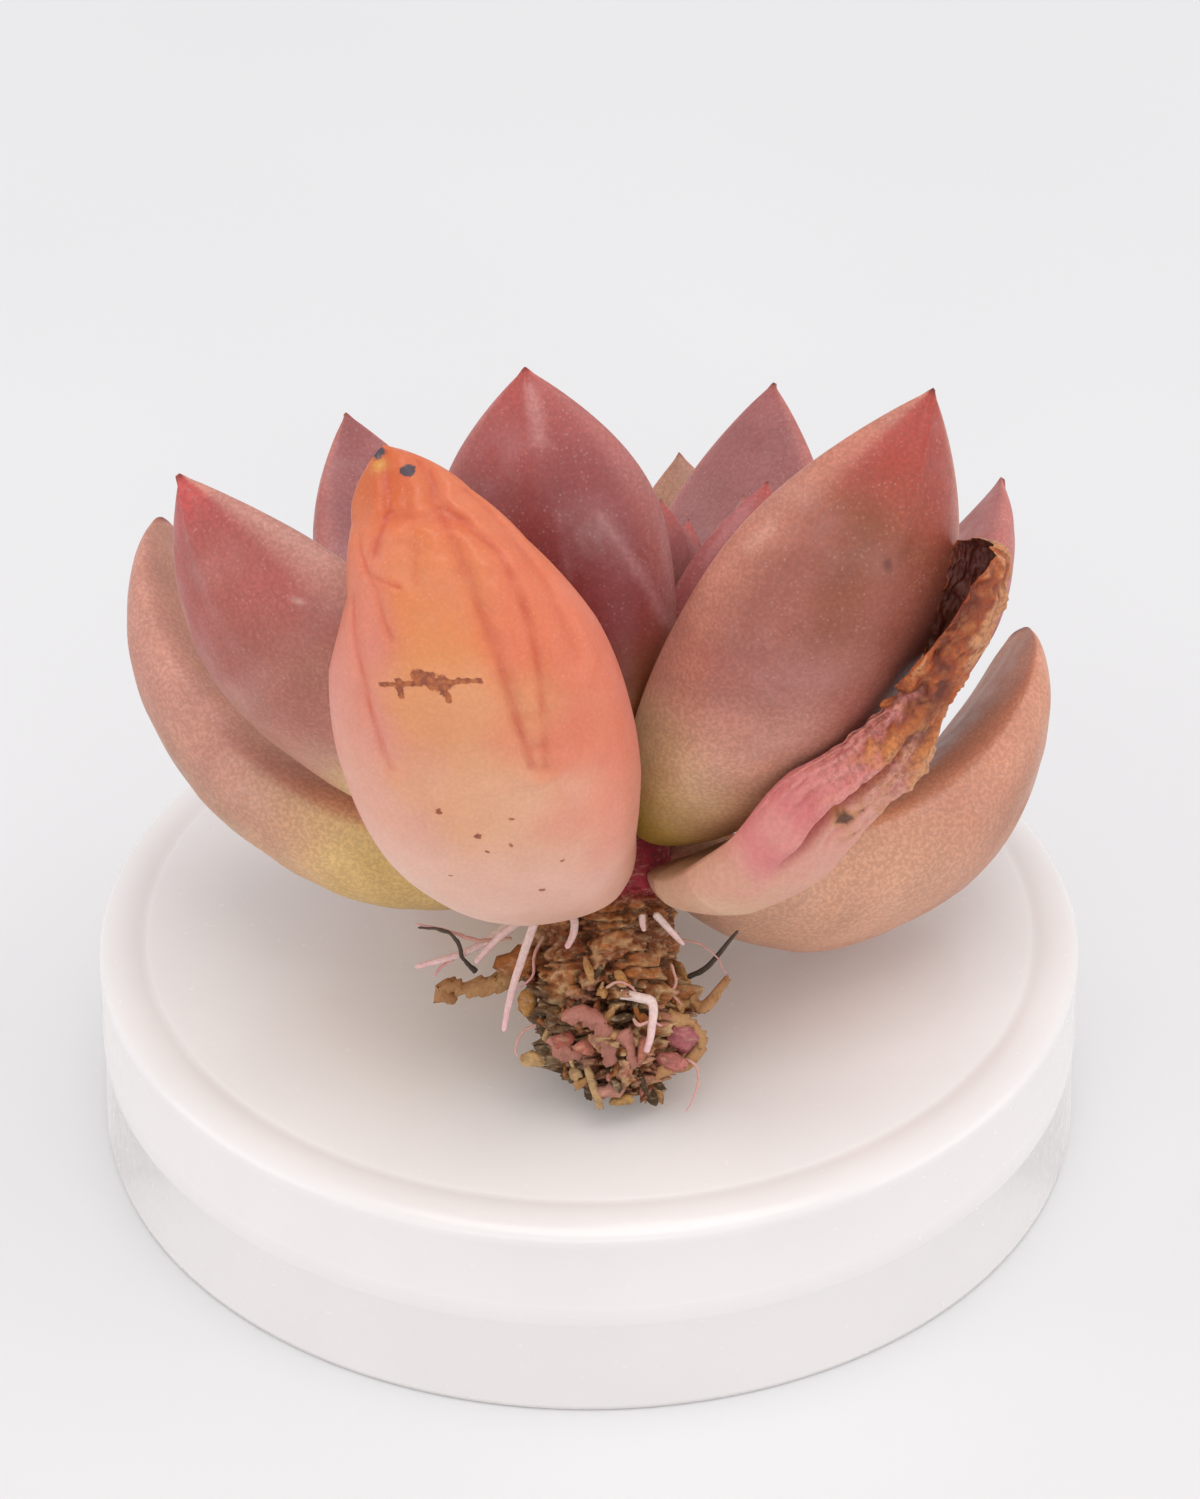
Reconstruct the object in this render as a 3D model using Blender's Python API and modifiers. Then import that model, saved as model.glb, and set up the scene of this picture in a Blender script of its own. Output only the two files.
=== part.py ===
"""A bare-root rosette succulent that leans back on an upturned round cap.

The plant has its own frame: its origin is the foot of the stump and its +Z runs up the stem.
That frame leans back over the cap. Tables are in millimetres and degrees.
"""

import math

import bmesh
import bpy
import numpy as np
from mathutils import Vector

MM = 0.001
OBJECT_NAME = "bare_root_succulent"

# The cap: a moulded, thin-walled lid that lies with its open side down
CAP_RADIUS = 31.0
CAP_HEIGHT = 13.7
CAP_WALL = 1.3
CAP_FOOT_FLARE = 0.25
CAP_FOOT_CHAMFER = 0.3
CAP_SHOULDER_WIDTH = 2.6
CAP_SHOULDER_DROP = 0.9
CAP_BEAD_HEIGHT = 7.2
CAP_BEAD_PROUD = 0.3
CAP_BEAD_HALF_WIDTH = 0.5
CAP_STEPS = 48

# How the plant stands on the cap
REST_GAP = 0.3
LEAN_BACK = 33.0
FOOT_FROM_CAP_CENTRE = (2.0, -18.4)

# The stem: a corky stump, a short neck, then the core that the leaves grow from
NECK_HEIGHT = 13.4
CORE_RADIUS = 3.0
CORE_TAPER = 0.11
CORE_LEAST_RADIUS = 1.2
CORE_ABOVE_LAST_LEAF = 1.0
STEM_BEVEL_RESOLUTION = 4
# Each row is x, y, z and radius, from the foot up
STUMP_SECTIONS = [
    (-0.2, -2.1, -0.1, 0.8),
    (-0.2, -2.0, 0.5, 1.7),
    (-0.4, -1.8, 1.3, 2.6),
    (-0.8, -1.5, 2.6, 3.4),
    (-0.9, -1.2, 4.1, 3.8),
    (-0.7, -0.9, 5.6, 4.2),
    (-0.9, -0.6, 7.1, 4.4),
    (-1.1, -0.4, 8.6, 4.6),
    (-0.9, -0.2, 10.4, 4.3),
    (-0.5, 0.0, 12.0, 3.5),
]

# The rosette: each leaf stands one golden angle round the stem from the leaf below it
GOLDEN_ANGLE = 137.5
FIRST_BEARING = 60.0
LEAF_SPACING = 0.6
LEAF_GAP = 0.4
LEAF_SIDES = 8
LARGE_LEAF_RINGS = 8
HEART_LEAF_RINGS = 6
# Subdivision draws a coarse ring in, so the cage starts wider by this share
CAGE_ALLOWANCE = 1.07
# The outer face of a leaf is rounder than the inner one, by its share of the thickness
OUTER_SHARE = 0.7
LEAF_BASE_WIDTH = 0.25
LEAF_BASE_THICKNESS = 0.28
THICKEST_AT = 0.42
# How long a leaf keeps its width and its depth on the way to the tip: less is more pointed
LEAF_FULLNESS = 1.15
DEPTH_FULLNESS = 1.3

# The large leaves from the oldest up: how far each has strayed from its golden-angle bearing,
# its length, width and thickness, how far it leans out at its base and at its tip, its
# sideways drift at its base and what that gains by the tip, its twist, and where it is widest.
# The front leaf is losing water, so it has shrunk towards its tip
LARGE_LEAVES = [
    dict(stray=-7, size=(33.5, 10.6, 5.0), lean=(95, 18), drift=(-12, 12), twist=-17, widest=0.37, fullness=1.3),
    dict(stray=-2, size=(36, 16.8, 7.6), lean=(103, 18), drift=(-2, 0), twist=3, widest=0.50),
    dict(stray=-1, size=(36.4, 16.8, 8.2), lean=(99, 0), drift=(10, -27), twist=-23, widest=0.48, fullness=1.1),
    dict(stray=1, size=(32.5, 16.5, 8.0), lean=(123, 15), drift=(3, 1), twist=14, widest=0.47),
    dict(stray=7, size=(36.5, 16, 8.2), lean=(107, 12), drift=(-2, -2), twist=6, widest=0.54),
    dict(stray=8, size=(35.2, 14.8, 7.8), lean=(63, 30), drift=(-3, 11), twist=14, widest=0.54),
    dict(stray=2, size=(33.2, 14.4, 6.0), lean=(80, 15), drift=(1, 4), twist=2, widest=0.48),
    dict(stray=2, size=(33, 17, 6.6), lean=(80, 32), drift=(-3, -5), twist=-13, widest=0.54),
    dict(stray=18, size=(31, 15.4, 5.9), lean=(78, 25), drift=(7, 11), twist=-8, widest=0.53),
    dict(stray=2, size=(32, 14.6, 5.8), lean=(69, 20), drift=(5, 2), twist=4, widest=0.51),
    dict(stray=-5, size=(27.5, 13.6, 5.3), lean=(56, 8), drift=(-6, 0), twist=3, widest=0.61),
    dict(stray=7, size=(28.5, 14.2, 4.7), lean=(55, 13), drift=(12, -16), twist=-1, widest=0.50),
]

# The young leaves in the heart get smaller and more upright towards the growing tip
HEART_LEAVES = 12
HEART_FIRST_SIZE = (18.6, 10.6, 4.2)
HEART_LAST_SIZE = (6.4, 3.4, 1.7)
HEART_FIRST_LEAN = (50, 13)
HEART_LAST_LEAN = (20, 3)
HEART_DRIFT = (3, 1)
HEART_TWIST = 4

# Roots, in the plant's frame: each has a radius, then its points from the stem outwards
ROOT_BEVEL_RESOLUTION = 1
ROOT_TIP_SHARE = 0.5
FRESH_ROOTS = [
    (0.27, (-3.8, -3.6, 11.4), (-4.9, -4.2, 10.8), (-5.6, -4.6, 9.2), (-6.5, -4.9, 6.4), (-7.0, -5.0, 4.0)),
    (0.25, (-4.5, -2.8, 11.4), (-5.6, -3.4, 10.7), (-7.3, -3.8, 9.5), (-8.7, -4.0, 8.0)),
    (0.26, (-5.0, -1.8, 11.4), (-5.8, -2.2, 10.9), (-7.8, -2.6, 9.4), (-9.5, -2.8, 8.5), (-12.3, -3.0, 7.7)),
    (0.26, (-3.0, -4.3, 11.1), (-2.8, -4.7, 10.4), (-2.9, -4.9, 9.7), (-3.3, -5.1, 8.9)),
    (0.20, (1.2, -4.3, 10.9), (1.2, -4.5, 10.5), (1.3, -4.7, 9.9)),
    (0.22, (1.9, -4.0, 11.0), (2.8, -3.8, 10.0), (3.7, -3.1, 9.0)),
    (0.30, (-0.2, -5.6, 6.3), (1.0, -5.7, 6.1), (1.8, -5.7, 5.7), (1.7, -5.9, 4.0), (1.4, -5.8, 2.8)),
]
DRY_ROOTS = [
    (0.60, (-6.3, -1.2, 7.2), (-7.5, -1.5, 6.6), (-9.0, -1.8, 6.3), (-10.7, -2.0, 6.4), (-10.1, -2.2, 5.3)),
    (0.40, (4.1, -2.2, 5.9), (4.7, -2.6, 5.3), (5.3, -2.8, 5.7), (6.3, -3.0, 7.1)),
    (0.50, (2.6, -4.4, 4.9), (4.2, -3.8, 4.2), (4.6, -3.6, 3.1), (3.6, -4.0, 1.9), (2.0, -5.0, 1.6)),
]
CUT_ROOTS = [
    (0.50, (-3.3, -5.0, 4.8), (-2.3, -5.6, 5.1), (-1.3, -5.9, 4.4), (-0.8, -5.8, 3.2), (-0.8, -5.6, 2.1)),
    (0.48, (-4.2, -4.4, 3.6), (-3.5, -5.0, 2.9), (-2.4, -5.4, 2.6)),
    (0.45, (0.0, -5.7, 4.2), (0.4, -5.5, 3.0), (0.9, -5.3, 2.0)),
]
DARK_ROOTS = [
    (0.18, (3.9, -1.8, 7.0), (4.9, -2.0, 7.5), (5.6, -2.0, 8.2), (6.4, -2.0, 9.2), (7.0, -2.0, 9.9)),
    (0.15, (-8.6, -2.8, 7.4), (-9.4, -3.5, 8.2), (-9.7, -3.6, 9.2), (-10.6, -3.4, 9.9), (-12.1, -3.2, 10.1)),
]


def clear_scene():
    for obj in list(bpy.data.objects):
        bpy.data.objects.remove(obj)


def material(name, colour, roughness, transmission=0.0):
    made = bpy.data.materials.new(name)
    made.use_nodes = True
    shader = made.node_tree.nodes["Principled BSDF"]
    shader.inputs["Base Color"].default_value = (*colour, 1.0)
    shader.inputs["Roughness"].default_value = roughness
    shader.inputs["Metallic"].default_value = 0.0
    shader.inputs["Transmission Weight"].default_value = transmission
    made.diffuse_color = (*colour, 1.0)
    return made


def add_object(name, data, finish, parent, collection):
    obj = bpy.data.objects.new(name, data)
    data.materials.append(finish)
    obj.parent = parent
    collection.objects.link(obj)
    return obj


def cap_profile():
    """The cap's outline as (radius, height) in mm: down its outer side, then up inside it."""
    foot_radius = CAP_RADIUS + CAP_FOOT_FLARE
    shoulder_top = CAP_RADIUS - CAP_SHOULDER_WIDTH
    outline = [(0.0, CAP_HEIGHT), (shoulder_top, CAP_HEIGHT)]
    for angle in (30, 60, 90):
        turned = math.radians(angle)
        outline.append(
            (
                shoulder_top + CAP_SHOULDER_WIDTH * math.sin(turned),
                CAP_HEIGHT - CAP_SHOULDER_DROP * (1 - math.cos(turned)),
            )
        )
    outline += [
        (CAP_RADIUS, CAP_BEAD_HEIGHT + CAP_BEAD_HALF_WIDTH),
        (CAP_RADIUS + CAP_BEAD_PROUD, CAP_BEAD_HEIGHT),
        (CAP_RADIUS, CAP_BEAD_HEIGHT - CAP_BEAD_HALF_WIDTH),
        (foot_radius, CAP_FOOT_CHAMFER),
        (foot_radius - CAP_FOOT_CHAMFER, 0.0),
        (CAP_RADIUS - CAP_WALL, 0.0),
        (CAP_RADIUS - CAP_WALL, CAP_HEIGHT - CAP_SHOULDER_DROP - CAP_WALL),
        (shoulder_top - CAP_WALL, CAP_HEIGHT - CAP_WALL),
        (0.0, CAP_HEIGHT - CAP_WALL),
    ]
    return outline


def add_cap(finish, collection):
    mesh = bpy.data.meshes.new("cap")
    points = [(radius * MM, 0.0, height * MM) for radius, height in cap_profile()]
    mesh.from_pydata(points, [(i, i + 1) for i in range(len(points) - 1)], [])
    cap = add_object("cap_stand", mesh, finish, None, collection)
    turn = cap.modifiers.new("turn", "SCREW")
    turn.steps = turn.render_steps = CAP_STEPS
    turn.use_merge_vertices = True
    turn.merge_threshold = 0.0001
    turn.use_smooth_shade = True


def add_tube(name, rows, resolution, finish, parent, collection):
    """A round tube through rows of (point, radius) in mm, as a curve with filled ends."""
    curve = bpy.data.curves.new(name, "CURVE")
    curve.dimensions = "3D"
    curve.bevel_depth = MM
    curve.bevel_resolution = resolution
    curve.use_fill_caps = True
    spline = curve.splines.new("POLY")
    spline.points.add(len(rows) - 1)
    for target, (point, radius) in zip(spline.points, rows):
        target.co = (*(Vector(point) * MM), 1.0)
        target.radius = radius
    spline.use_smooth = True
    return add_object(name, curve, finish, parent, collection)


def leaf_height(number):
    return NECK_HEIGHT + LEAF_SPACING * number


def core_radius(height):
    return max(CORE_LEAST_RADIUS, CORE_RADIUS - CORE_TAPER * (height - NECK_HEIGHT))


def add_stem(leaf_count, finish, parent, collection):
    rows = [((x, y, z), radius) for x, y, z, radius in STUMP_SECTIONS]
    top = leaf_height(leaf_count - 1) + CORE_ABOVE_LAST_LEAF
    for step in range(4):
        height = NECK_HEIGHT - LEAF_SPACING + (top - NECK_HEIGHT) * step / 3
        rows.append(((0.0, 0.0, height), core_radius(height)))
    rows.append(((0.0, 0.0, top + CORE_LEAST_RADIUS / 2), CORE_LEAST_RADIUS / 3))
    add_tube("stem", rows, STEM_BEVEL_RESOLUTION, finish, parent, collection)


def swell(t, peak, base, fullness):
    """How wide a leaf is at share t of its length: base at 0, 1 at the peak, 0 at the tip."""
    if t < peak:
        return base + (1 - base) * math.sin(math.pi / 2 * t / peak) ** 0.8
    return math.cos(math.pi / 2 * ((t - peak) / (1 - peak)) ** fullness) ** 0.9


def leaf_spine(bearing, height, length, lean, drift, steps=24):
    """Points and frames (along, across, outward) of a leaf's midline, as numpy rows."""
    out = np.array([math.sin(bearing), -math.cos(bearing), 0.0])
    side = np.array([math.cos(bearing), math.sin(bearing), 0.0])
    up = np.array([0.0, 0.0, 1.0])
    t = np.linspace(0.0, 1.0, steps)[:, None]
    leaning = np.radians(lean[0] + (lean[1] - lean[0]) * t**0.8)
    drifting = np.tan(np.radians(drift[0] + drift[1] * t))
    along = np.cos(leaning) * up + np.sin(leaning) * out + drifting * side
    along /= np.linalg.norm(along, axis=1, keepdims=True)
    start = out * (core_radius(height) + LEAF_GAP) + up * height
    paces = (along[:-1] + along[1:]) / 2 * length / (steps - 1)
    points = start + np.vstack([np.zeros(3), np.cumsum(paces, axis=0)])
    across = side - along * (along @ side)[:, None]
    across /= np.linalg.norm(across, axis=1, keepdims=True)
    return t[:, 0], points, along, across, np.cross(across, along)


def leaf_mesh(name, number, stray, size, lean, drift, twist, widest, fullness=LEAF_FULLNESS):
    """A leaf as a sphere's cage laid along the leaf's midline, its rings becoming cross-sections."""
    rings = LARGE_LEAF_RINGS if number < len(LARGE_LEAVES) else HEART_LEAF_RINGS
    bearing = math.radians(FIRST_BEARING + GOLDEN_ANGLE * number + stray)
    length, width, thickness = size
    stations, points, along, across, outward = leaf_spine(
        bearing, leaf_height(number), length, lean, drift
    )
    turn = math.radians(twist)
    across, outward = (
        math.cos(turn) * across + math.sin(turn) * outward,
        math.cos(turn) * outward - math.sin(turn) * across,
    )

    def at(rows, t):
        return Vector([np.interp(t, stations, column) for column in rows.T])

    cage = bmesh.new()
    bmesh.ops.create_uvsphere(cage, u_segments=LEAF_SIDES, v_segments=rings, radius=1.0)
    for vertex in cage.verts:
        t = (1 - vertex.co.z) / 2
        angle = math.atan2(vertex.co.y, vertex.co.x)
        ring = CAGE_ALLOWANCE if abs(vertex.co.z) < 0.999 else 0.0
        half_width = ring * width / 2 * swell(t, widest, LEAF_BASE_WIDTH, fullness)
        depth = ring * thickness * swell(t, THICKEST_AT, LEAF_BASE_THICKNESS, DEPTH_FULLNESS)
        share = OUTER_SHARE if math.sin(angle) > 0 else 1 - OUTER_SHARE
        vertex.co = MM * (
            at(points, t)
            + at(across, t) * half_width * math.cos(angle)
            + at(outward, t) * depth * share * math.sin(angle)
        )
    mesh = bpy.data.meshes.new(name)
    cage.to_mesh(mesh)
    cage.free()
    mesh.shade_smooth()
    return mesh


def mix(first, last, share):
    return tuple(a + (b - a) * share for a, b in zip(first, last))


def all_leaves():
    """Every leaf's shape values, from the oldest at the bottom to the youngest at the tip."""
    leaves = [dict(leaf, number=number) for number, leaf in enumerate(LARGE_LEAVES)]
    for place in range(HEART_LEAVES):
        share = place / (HEART_LEAVES - 1)
        leaves.append(
            dict(
                number=len(LARGE_LEAVES) + place,
                stray=0,
                size=mix(HEART_FIRST_SIZE, HEART_LAST_SIZE, share),
                lean=mix(HEART_FIRST_LEAN, HEART_LAST_LEAN, share),
                drift=HEART_DRIFT,
                twist=HEART_TWIST,
                widest=0.51,
            )
        )
    return leaves


def add_leaves(leaves, withered_finish, leaf_finish, parent, collection):
    for leaf in leaves:
        number = leaf["number"]
        name = f"leaf_{number:02d}" if number else "withered_leaf"
        finish = leaf_finish if number else withered_finish
        obj = add_object(name, leaf_mesh(name, **leaf), finish, parent, collection)
        soften = obj.modifiers.new("soften", "SUBSURF")
        soften.levels = soften.render_levels = 1


def add_roots(name, roots, finish, parent, collection):
    for number, (radius, *points) in enumerate(roots, start=1):
        rows = [(point, radius) for point in points]
        rows[-1] = (points[-1], radius * ROOT_TIP_SHARE)
        add_tube(f"{name}_{number}", rows, ROOT_BEVEL_RESOLUTION, finish, parent, collection)


def main():
    clear_scene()
    collection = bpy.data.collections.new(OBJECT_NAME)
    bpy.context.scene.collection.children.link(collection)
    plant = bpy.data.objects.new("foot_of_plant", None)
    plant.location = Vector((*FOOT_FROM_CAP_CENTRE, CAP_HEIGHT + REST_GAP)) * MM
    plant.rotation_euler.x = -math.radians(LEAN_BACK)
    collection.objects.link(plant)

    leaf_skin = material("leaf_skin", (0.55, 0.25, 0.22), 0.5)
    withered_skin = material("withered_leaf_skin", (0.62, 0.30, 0.17), 0.7)
    cork = material("corky_stem", (0.35, 0.20, 0.10), 0.85)
    fresh = material("fresh_root", (0.85, 0.62, 0.60), 0.4)
    dry = material("dry_root", (0.42, 0.25, 0.13), 0.8)
    dark = material("dark_root", (0.10, 0.07, 0.05), 0.8)
    frosted = material("frosted_plastic", (0.85, 0.84, 0.83), 0.35, transmission=0.5)

    leaves = all_leaves()
    add_cap(frosted, collection)
    add_stem(len(leaves), cork, plant, collection)
    add_leaves(leaves, withered_skin, leaf_skin, plant, collection)
    add_roots("fresh_root", FRESH_ROOTS, fresh, plant, collection)
    add_roots("dry_root", DRY_ROOTS, dry, plant, collection)
    add_roots("cut_root", CUT_ROOTS, dry, plant, collection)
    add_roots("dark_root", DARK_ROOTS, dark, plant, collection)


main()
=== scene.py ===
import math

import bpy
import numpy as np
from mathutils import Euler, Matrix, Vector, noise


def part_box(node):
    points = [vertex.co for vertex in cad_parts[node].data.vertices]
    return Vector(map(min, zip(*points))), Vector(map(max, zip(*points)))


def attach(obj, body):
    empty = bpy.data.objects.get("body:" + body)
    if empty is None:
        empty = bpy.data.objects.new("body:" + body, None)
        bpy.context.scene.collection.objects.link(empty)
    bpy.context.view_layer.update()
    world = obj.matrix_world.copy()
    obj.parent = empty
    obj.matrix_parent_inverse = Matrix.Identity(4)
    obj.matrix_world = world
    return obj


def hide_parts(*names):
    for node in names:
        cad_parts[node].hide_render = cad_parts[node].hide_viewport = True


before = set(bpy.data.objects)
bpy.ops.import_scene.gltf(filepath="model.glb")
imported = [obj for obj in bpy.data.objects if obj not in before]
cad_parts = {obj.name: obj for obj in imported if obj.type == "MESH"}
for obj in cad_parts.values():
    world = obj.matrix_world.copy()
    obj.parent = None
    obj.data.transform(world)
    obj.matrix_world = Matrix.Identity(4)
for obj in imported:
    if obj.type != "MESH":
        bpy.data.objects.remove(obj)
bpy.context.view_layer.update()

millimetre = 0.001
capLow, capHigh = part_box("cap_stand")

# The plant stands on the cap and leans back; its own frame starts at its foot
plant = {
    "footAcross": 2.0,
    "footForward": -18.4,
    "restGap": 0.3,
    "leanBack": 33.0,
}
plantPlace = Matrix.Translation(
    Vector(
        (
            plant["footAcross"] * millimetre,
            plant["footForward"] * millimetre,
            capHigh.z + plant["restGap"] * millimetre,
        )
    )
) @ Matrix.Rotation(-math.radians(plant["leanBack"]), 4, "X")


def deselectAll():
    for obj in bpy.context.selected_objects:
        obj.select_set(False)


def toPlant(points):  # rows of millimetres in the plant's frame, as metres in the scene
    place = np.array(plantPlace)
    return points * millimetre @ place[:3, :3].T + place[:3, 3]


def pointsOf(piece):
    rows = np.empty(len(piece.data.vertices) * 3)
    piece.data.vertices.foreach_get("co", rows)
    return rows.reshape(-1, 3)


def addSphere(name, around, rings):  # a sphere, and the rows of its points
    deselectAll()
    bpy.ops.mesh.primitive_uv_sphere_add(segments=around, ring_count=rings, radius=1.0)
    piece = bpy.context.object
    piece.name = piece.data.name = name
    return piece, pointsOf(piece)


def offPoles(sphere):  # 0 at a sphere's two poles and 1 elsewhere, so that a shape closes there
    return (np.abs(sphere[:, 2]) < 0.99999).astype(float)


def setPoints(piece, rows):
    piece.data.vertices.foreach_set("co", rows.astype(np.float32).ravel())
    piece.data.update()


def paint(hexCode):  # a six-digit sRGB colour as linear red, green and blue
    parts = [int(hexCode[i : i + 2], 16) / 255 for i in (0, 2, 4)]
    return np.array([p / 12.92 if p < 0.04045 else ((p + 0.055) / 1.055) ** 2.4 for p in parts])


def setPaint(piece, name, colours):
    layer = piece.data.color_attributes.new(name, "FLOAT_COLOR", "POINT")
    rows = np.ones((len(piece.data.vertices), 4), np.float32)
    rows[:, :3] = colours
    layer.data.foreach_set("color", rows.ravel())


def setShare(piece, name, values):
    layer = piece.data.attributes.new(name, "FLOAT", "POINT")
    layer.data.foreach_set("value", np.asarray(values, np.float32))


def ease(value, low, high):  # 0 below low, 1 above high, and smooth between
    share = np.clip((value - low) / (high - low), 0, 1)
    return share * share * (3 - 2 * share)


def blendPaint(first, second, share):
    share = np.asarray(share)[:, None]
    return first * (1 - share) + second * share


def paints(*hexCodes):
    return [paint(code) for code in hexCodes]


def bell(value, width):  # 1 at no distance, falling away smoothly over the width
    return np.exp(-((value / width) ** 2))


def ripple(rows, wavelength, seed, waves=7):  # a smooth uneven field, about -1 to 1
    draw = np.random.RandomState(seed)
    total = np.zeros(len(rows))
    for _ in range(waves):
        heading = draw.normal(size=3)
        heading *= 2 * math.pi / wavelength / np.linalg.norm(heading) * draw.uniform(0.7, 1.5)
        total += np.sin(rows @ heading + draw.uniform(0, 2 * math.pi))
    return total / math.sqrt(waves)


def fractal(rows, scale, seed, octaves=4):
    shift = Vector((seed * 7.31, seed * 3.17, seed * 5.93))
    return np.array([noise.fractal(Vector(row) * scale + shift, 1.0, 2.0, octaves) for row in rows])


def finishPiece(piece, nodeNames, material):
    piece.data.materials.clear()
    piece.data.materials.append(material)
    for polygon in piece.data.polygons:
        polygon.use_smooth = True
    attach(piece, "root")
    if nodeNames:
        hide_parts(*nodeNames)


class Shade:  # one material's node tree, with short ways to add and join nodes
    def __init__(self, name, roughness, specular=0.5):
        self.material = bpy.data.materials.new(name)
        self.material.use_nodes = True
        self.tree = self.material.node_tree
        self.shader = self.tree.nodes["Principled BSDF"]
        self.shader.inputs["Roughness"].default_value = roughness
        self.shader.inputs["Specular IOR Level"].default_value = specular
        self.place = self.tree.nodes.new("ShaderNodeTexCoord").outputs["Object"]

    def join(self, source, target):
        self.tree.links.new(source, target)

    def attribute(self, name, output="Fac"):
        node = self.tree.nodes.new("ShaderNodeAttribute")
        node.attribute_name = name
        return node.outputs[output]

    def translucent(self, weight, radius, scale):
        self.shader.inputs["Subsurface Weight"].default_value = weight
        self.shader.inputs["Subsurface Radius"].default_value = radius
        self.shader.inputs["Subsurface Scale"].default_value = scale

    def noise(self, scale, detail=2.0, roughness=0.5, place=None):
        node = self.tree.nodes.new("ShaderNodeTexNoise")
        node.inputs["Scale"].default_value = scale
        node.inputs["Detail"].default_value = detail
        node.inputs["Roughness"].default_value = roughness
        self.join(place or self.place, node.inputs["Vector"])
        return node.outputs["Fac"]

    def cells(self, scale):
        node = self.tree.nodes.new("ShaderNodeTexVoronoi")
        node.inputs["Scale"].default_value = scale
        self.join(self.place, node.inputs["Vector"])
        return node.outputs["Distance"]

    def stretched(self, scale):
        node = self.tree.nodes.new("ShaderNodeMapping")
        node.inputs["Scale"].default_value = scale
        self.join(self.place, node.inputs["Vector"])
        return node.outputs["Vector"]

    def span(self, source, low, high, toLow=0.0, toHigh=1.0):
        node = self.tree.nodes.new("ShaderNodeMapRange")
        for name, value in zip(("From Min", "From Max", "To Min", "To Max"), (low, high, toLow, toHigh)):
            node.inputs[name].default_value = value
        self.join(source, node.inputs["Value"])
        return node.outputs["Result"]

    def calculate(self, kind, first, second):
        node = self.tree.nodes.new("ShaderNodeMath")
        node.operation = kind
        for slot, value in zip(node.inputs, (first, second)):
            if isinstance(value, (int, float)):
                slot.default_value = value
            else:
                self.join(value, slot)
        return node.outputs[0]

    def add(self, first, second):
        return self.calculate("ADD", first, second)

    def times(self, first, second):
        return self.calculate("MULTIPLY", first, second)

    def mix(self, share, first, second):
        node = self.tree.nodes.new("ShaderNodeMix")
        node.data_type = "RGBA"
        for slot, value in ((node.inputs[0], share), (node.inputs[6], first), (node.inputs[7], second)):
            if isinstance(value, (int, float)):
                slot.default_value = value
            elif isinstance(value, tuple):
                slot.default_value = (*value, 1.0)
            else:
                self.join(value, slot)
        return node.outputs[2]

    def bump(self, height, strength, distance):
        node = self.tree.nodes.new("ShaderNodeBump")
        node.inputs["Strength"].default_value = strength
        node.inputs["Distance"].default_value = distance
        self.join(height, node.inputs["Height"])
        return node.outputs["Normal"]

    def finish(self, colour, roughness=None, normal=None):
        for name, source in (("Base Color", colour), ("Roughness", roughness), ("Normal", normal)):
            if source is not None:
                self.join(source, self.shader.inputs[name])
        return self.material


def makeLeafSkin(name, grainDark, grainPale, waxy, marked=False):
    shade = Shade(name, 0.45)
    shade.translucent(waxy, (1.0, 0.45, 0.25), 0.0014)
    skin = shade.attribute("skin", "Color")
    mottle = shade.span(shade.noise(420, 4, 0.6), 0.3, 0.7)
    grain = shade.noise(4200, 2, 0.6)
    dots = shade.span(shade.cells(3400), 0.06, 0.34, 1.0, 0.0)
    colour = shade.mix(shade.span(mottle, 0, 1, 0.10, 0.0), skin, (0.30, 0.05, 0.04))
    colour = shade.mix(shade.span(grain, 0.42, 0.62, grainDark, 0.0), colour, (0.12, 0.02, 0.02))
    pale = shade.times(dots, shade.span(shade.noise(900, 2), 0.35, 0.65))
    colour = shade.mix(shade.times(pale, grainPale), colour, (0.92, 0.74, 0.66))
    bloom = shade.times(shade.span(shade.noise(260, 5, 0.7), 0.42, 0.75), shade.attribute("bloom"))
    colour = shade.mix(bloom, colour, (0.80, 0.62, 0.62))
    if marked:
        crumble = shade.span(shade.noise(2300, 4, 0.65), 0.3, 0.7, -0.35, 0.35)
        scar = shade.span(shade.add(shade.attribute("scar"), crumble), 0.42, 0.62)
        flecks = shade.span(shade.noise(3000, 3), 0.4, 0.6)
        scarInk = shade.mix(flecks, (0.20, 0.03, 0.008), (0.40, 0.10, 0.02))
        colour = shade.mix(shade.times(scar, 0.9), colour, scarInk)
        dry = shade.span(shade.add(shade.attribute("dry"), crumble), 0.55, 0.8)
        colour = shade.mix(dry, colour, (0.07, 0.045, 0.06))
    roughness = shade.span(shade.noise(600, 3), 0.3, 0.7, 0.36, 0.56)
    normal = shade.bump(grain, 0.35, 0.00006)
    return shade.finish(colour, roughness, normal)


print("leaf materials")
leafSkin = makeLeafSkin("leafSkin", 0.24, 0.15, 0.12)


rosette = {
    "goldenAngle": 137.5,
    "firstBearing": 60.0,
    "neckHeight": 13.4,
    "spacing": 0.6,
    "coreRadius": 3.0,
    "coreTaper": 0.11,
    "coreLeast": 1.2,
    "gap": 0.4,
    "outerShare": 0.7,
    "baseWidth": 0.25,
    "baseThickness": 0.28,
    "thickestAt": 0.42,
    "leafFullness": 1.15,
    "depthFullness": 1.3,
    "tipLength": 0.14,
    "lengthShown": 0.99,
    "sheenAllowance": 0.02,  # taken off a colour because sheen adds it back
    # painted light: how much the lower part of each leaf is lightened, as if lit from below by the cap and
    # floor
    "paintedBaseLight": 0.38,
    "blunt": 0.9,
}

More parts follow.
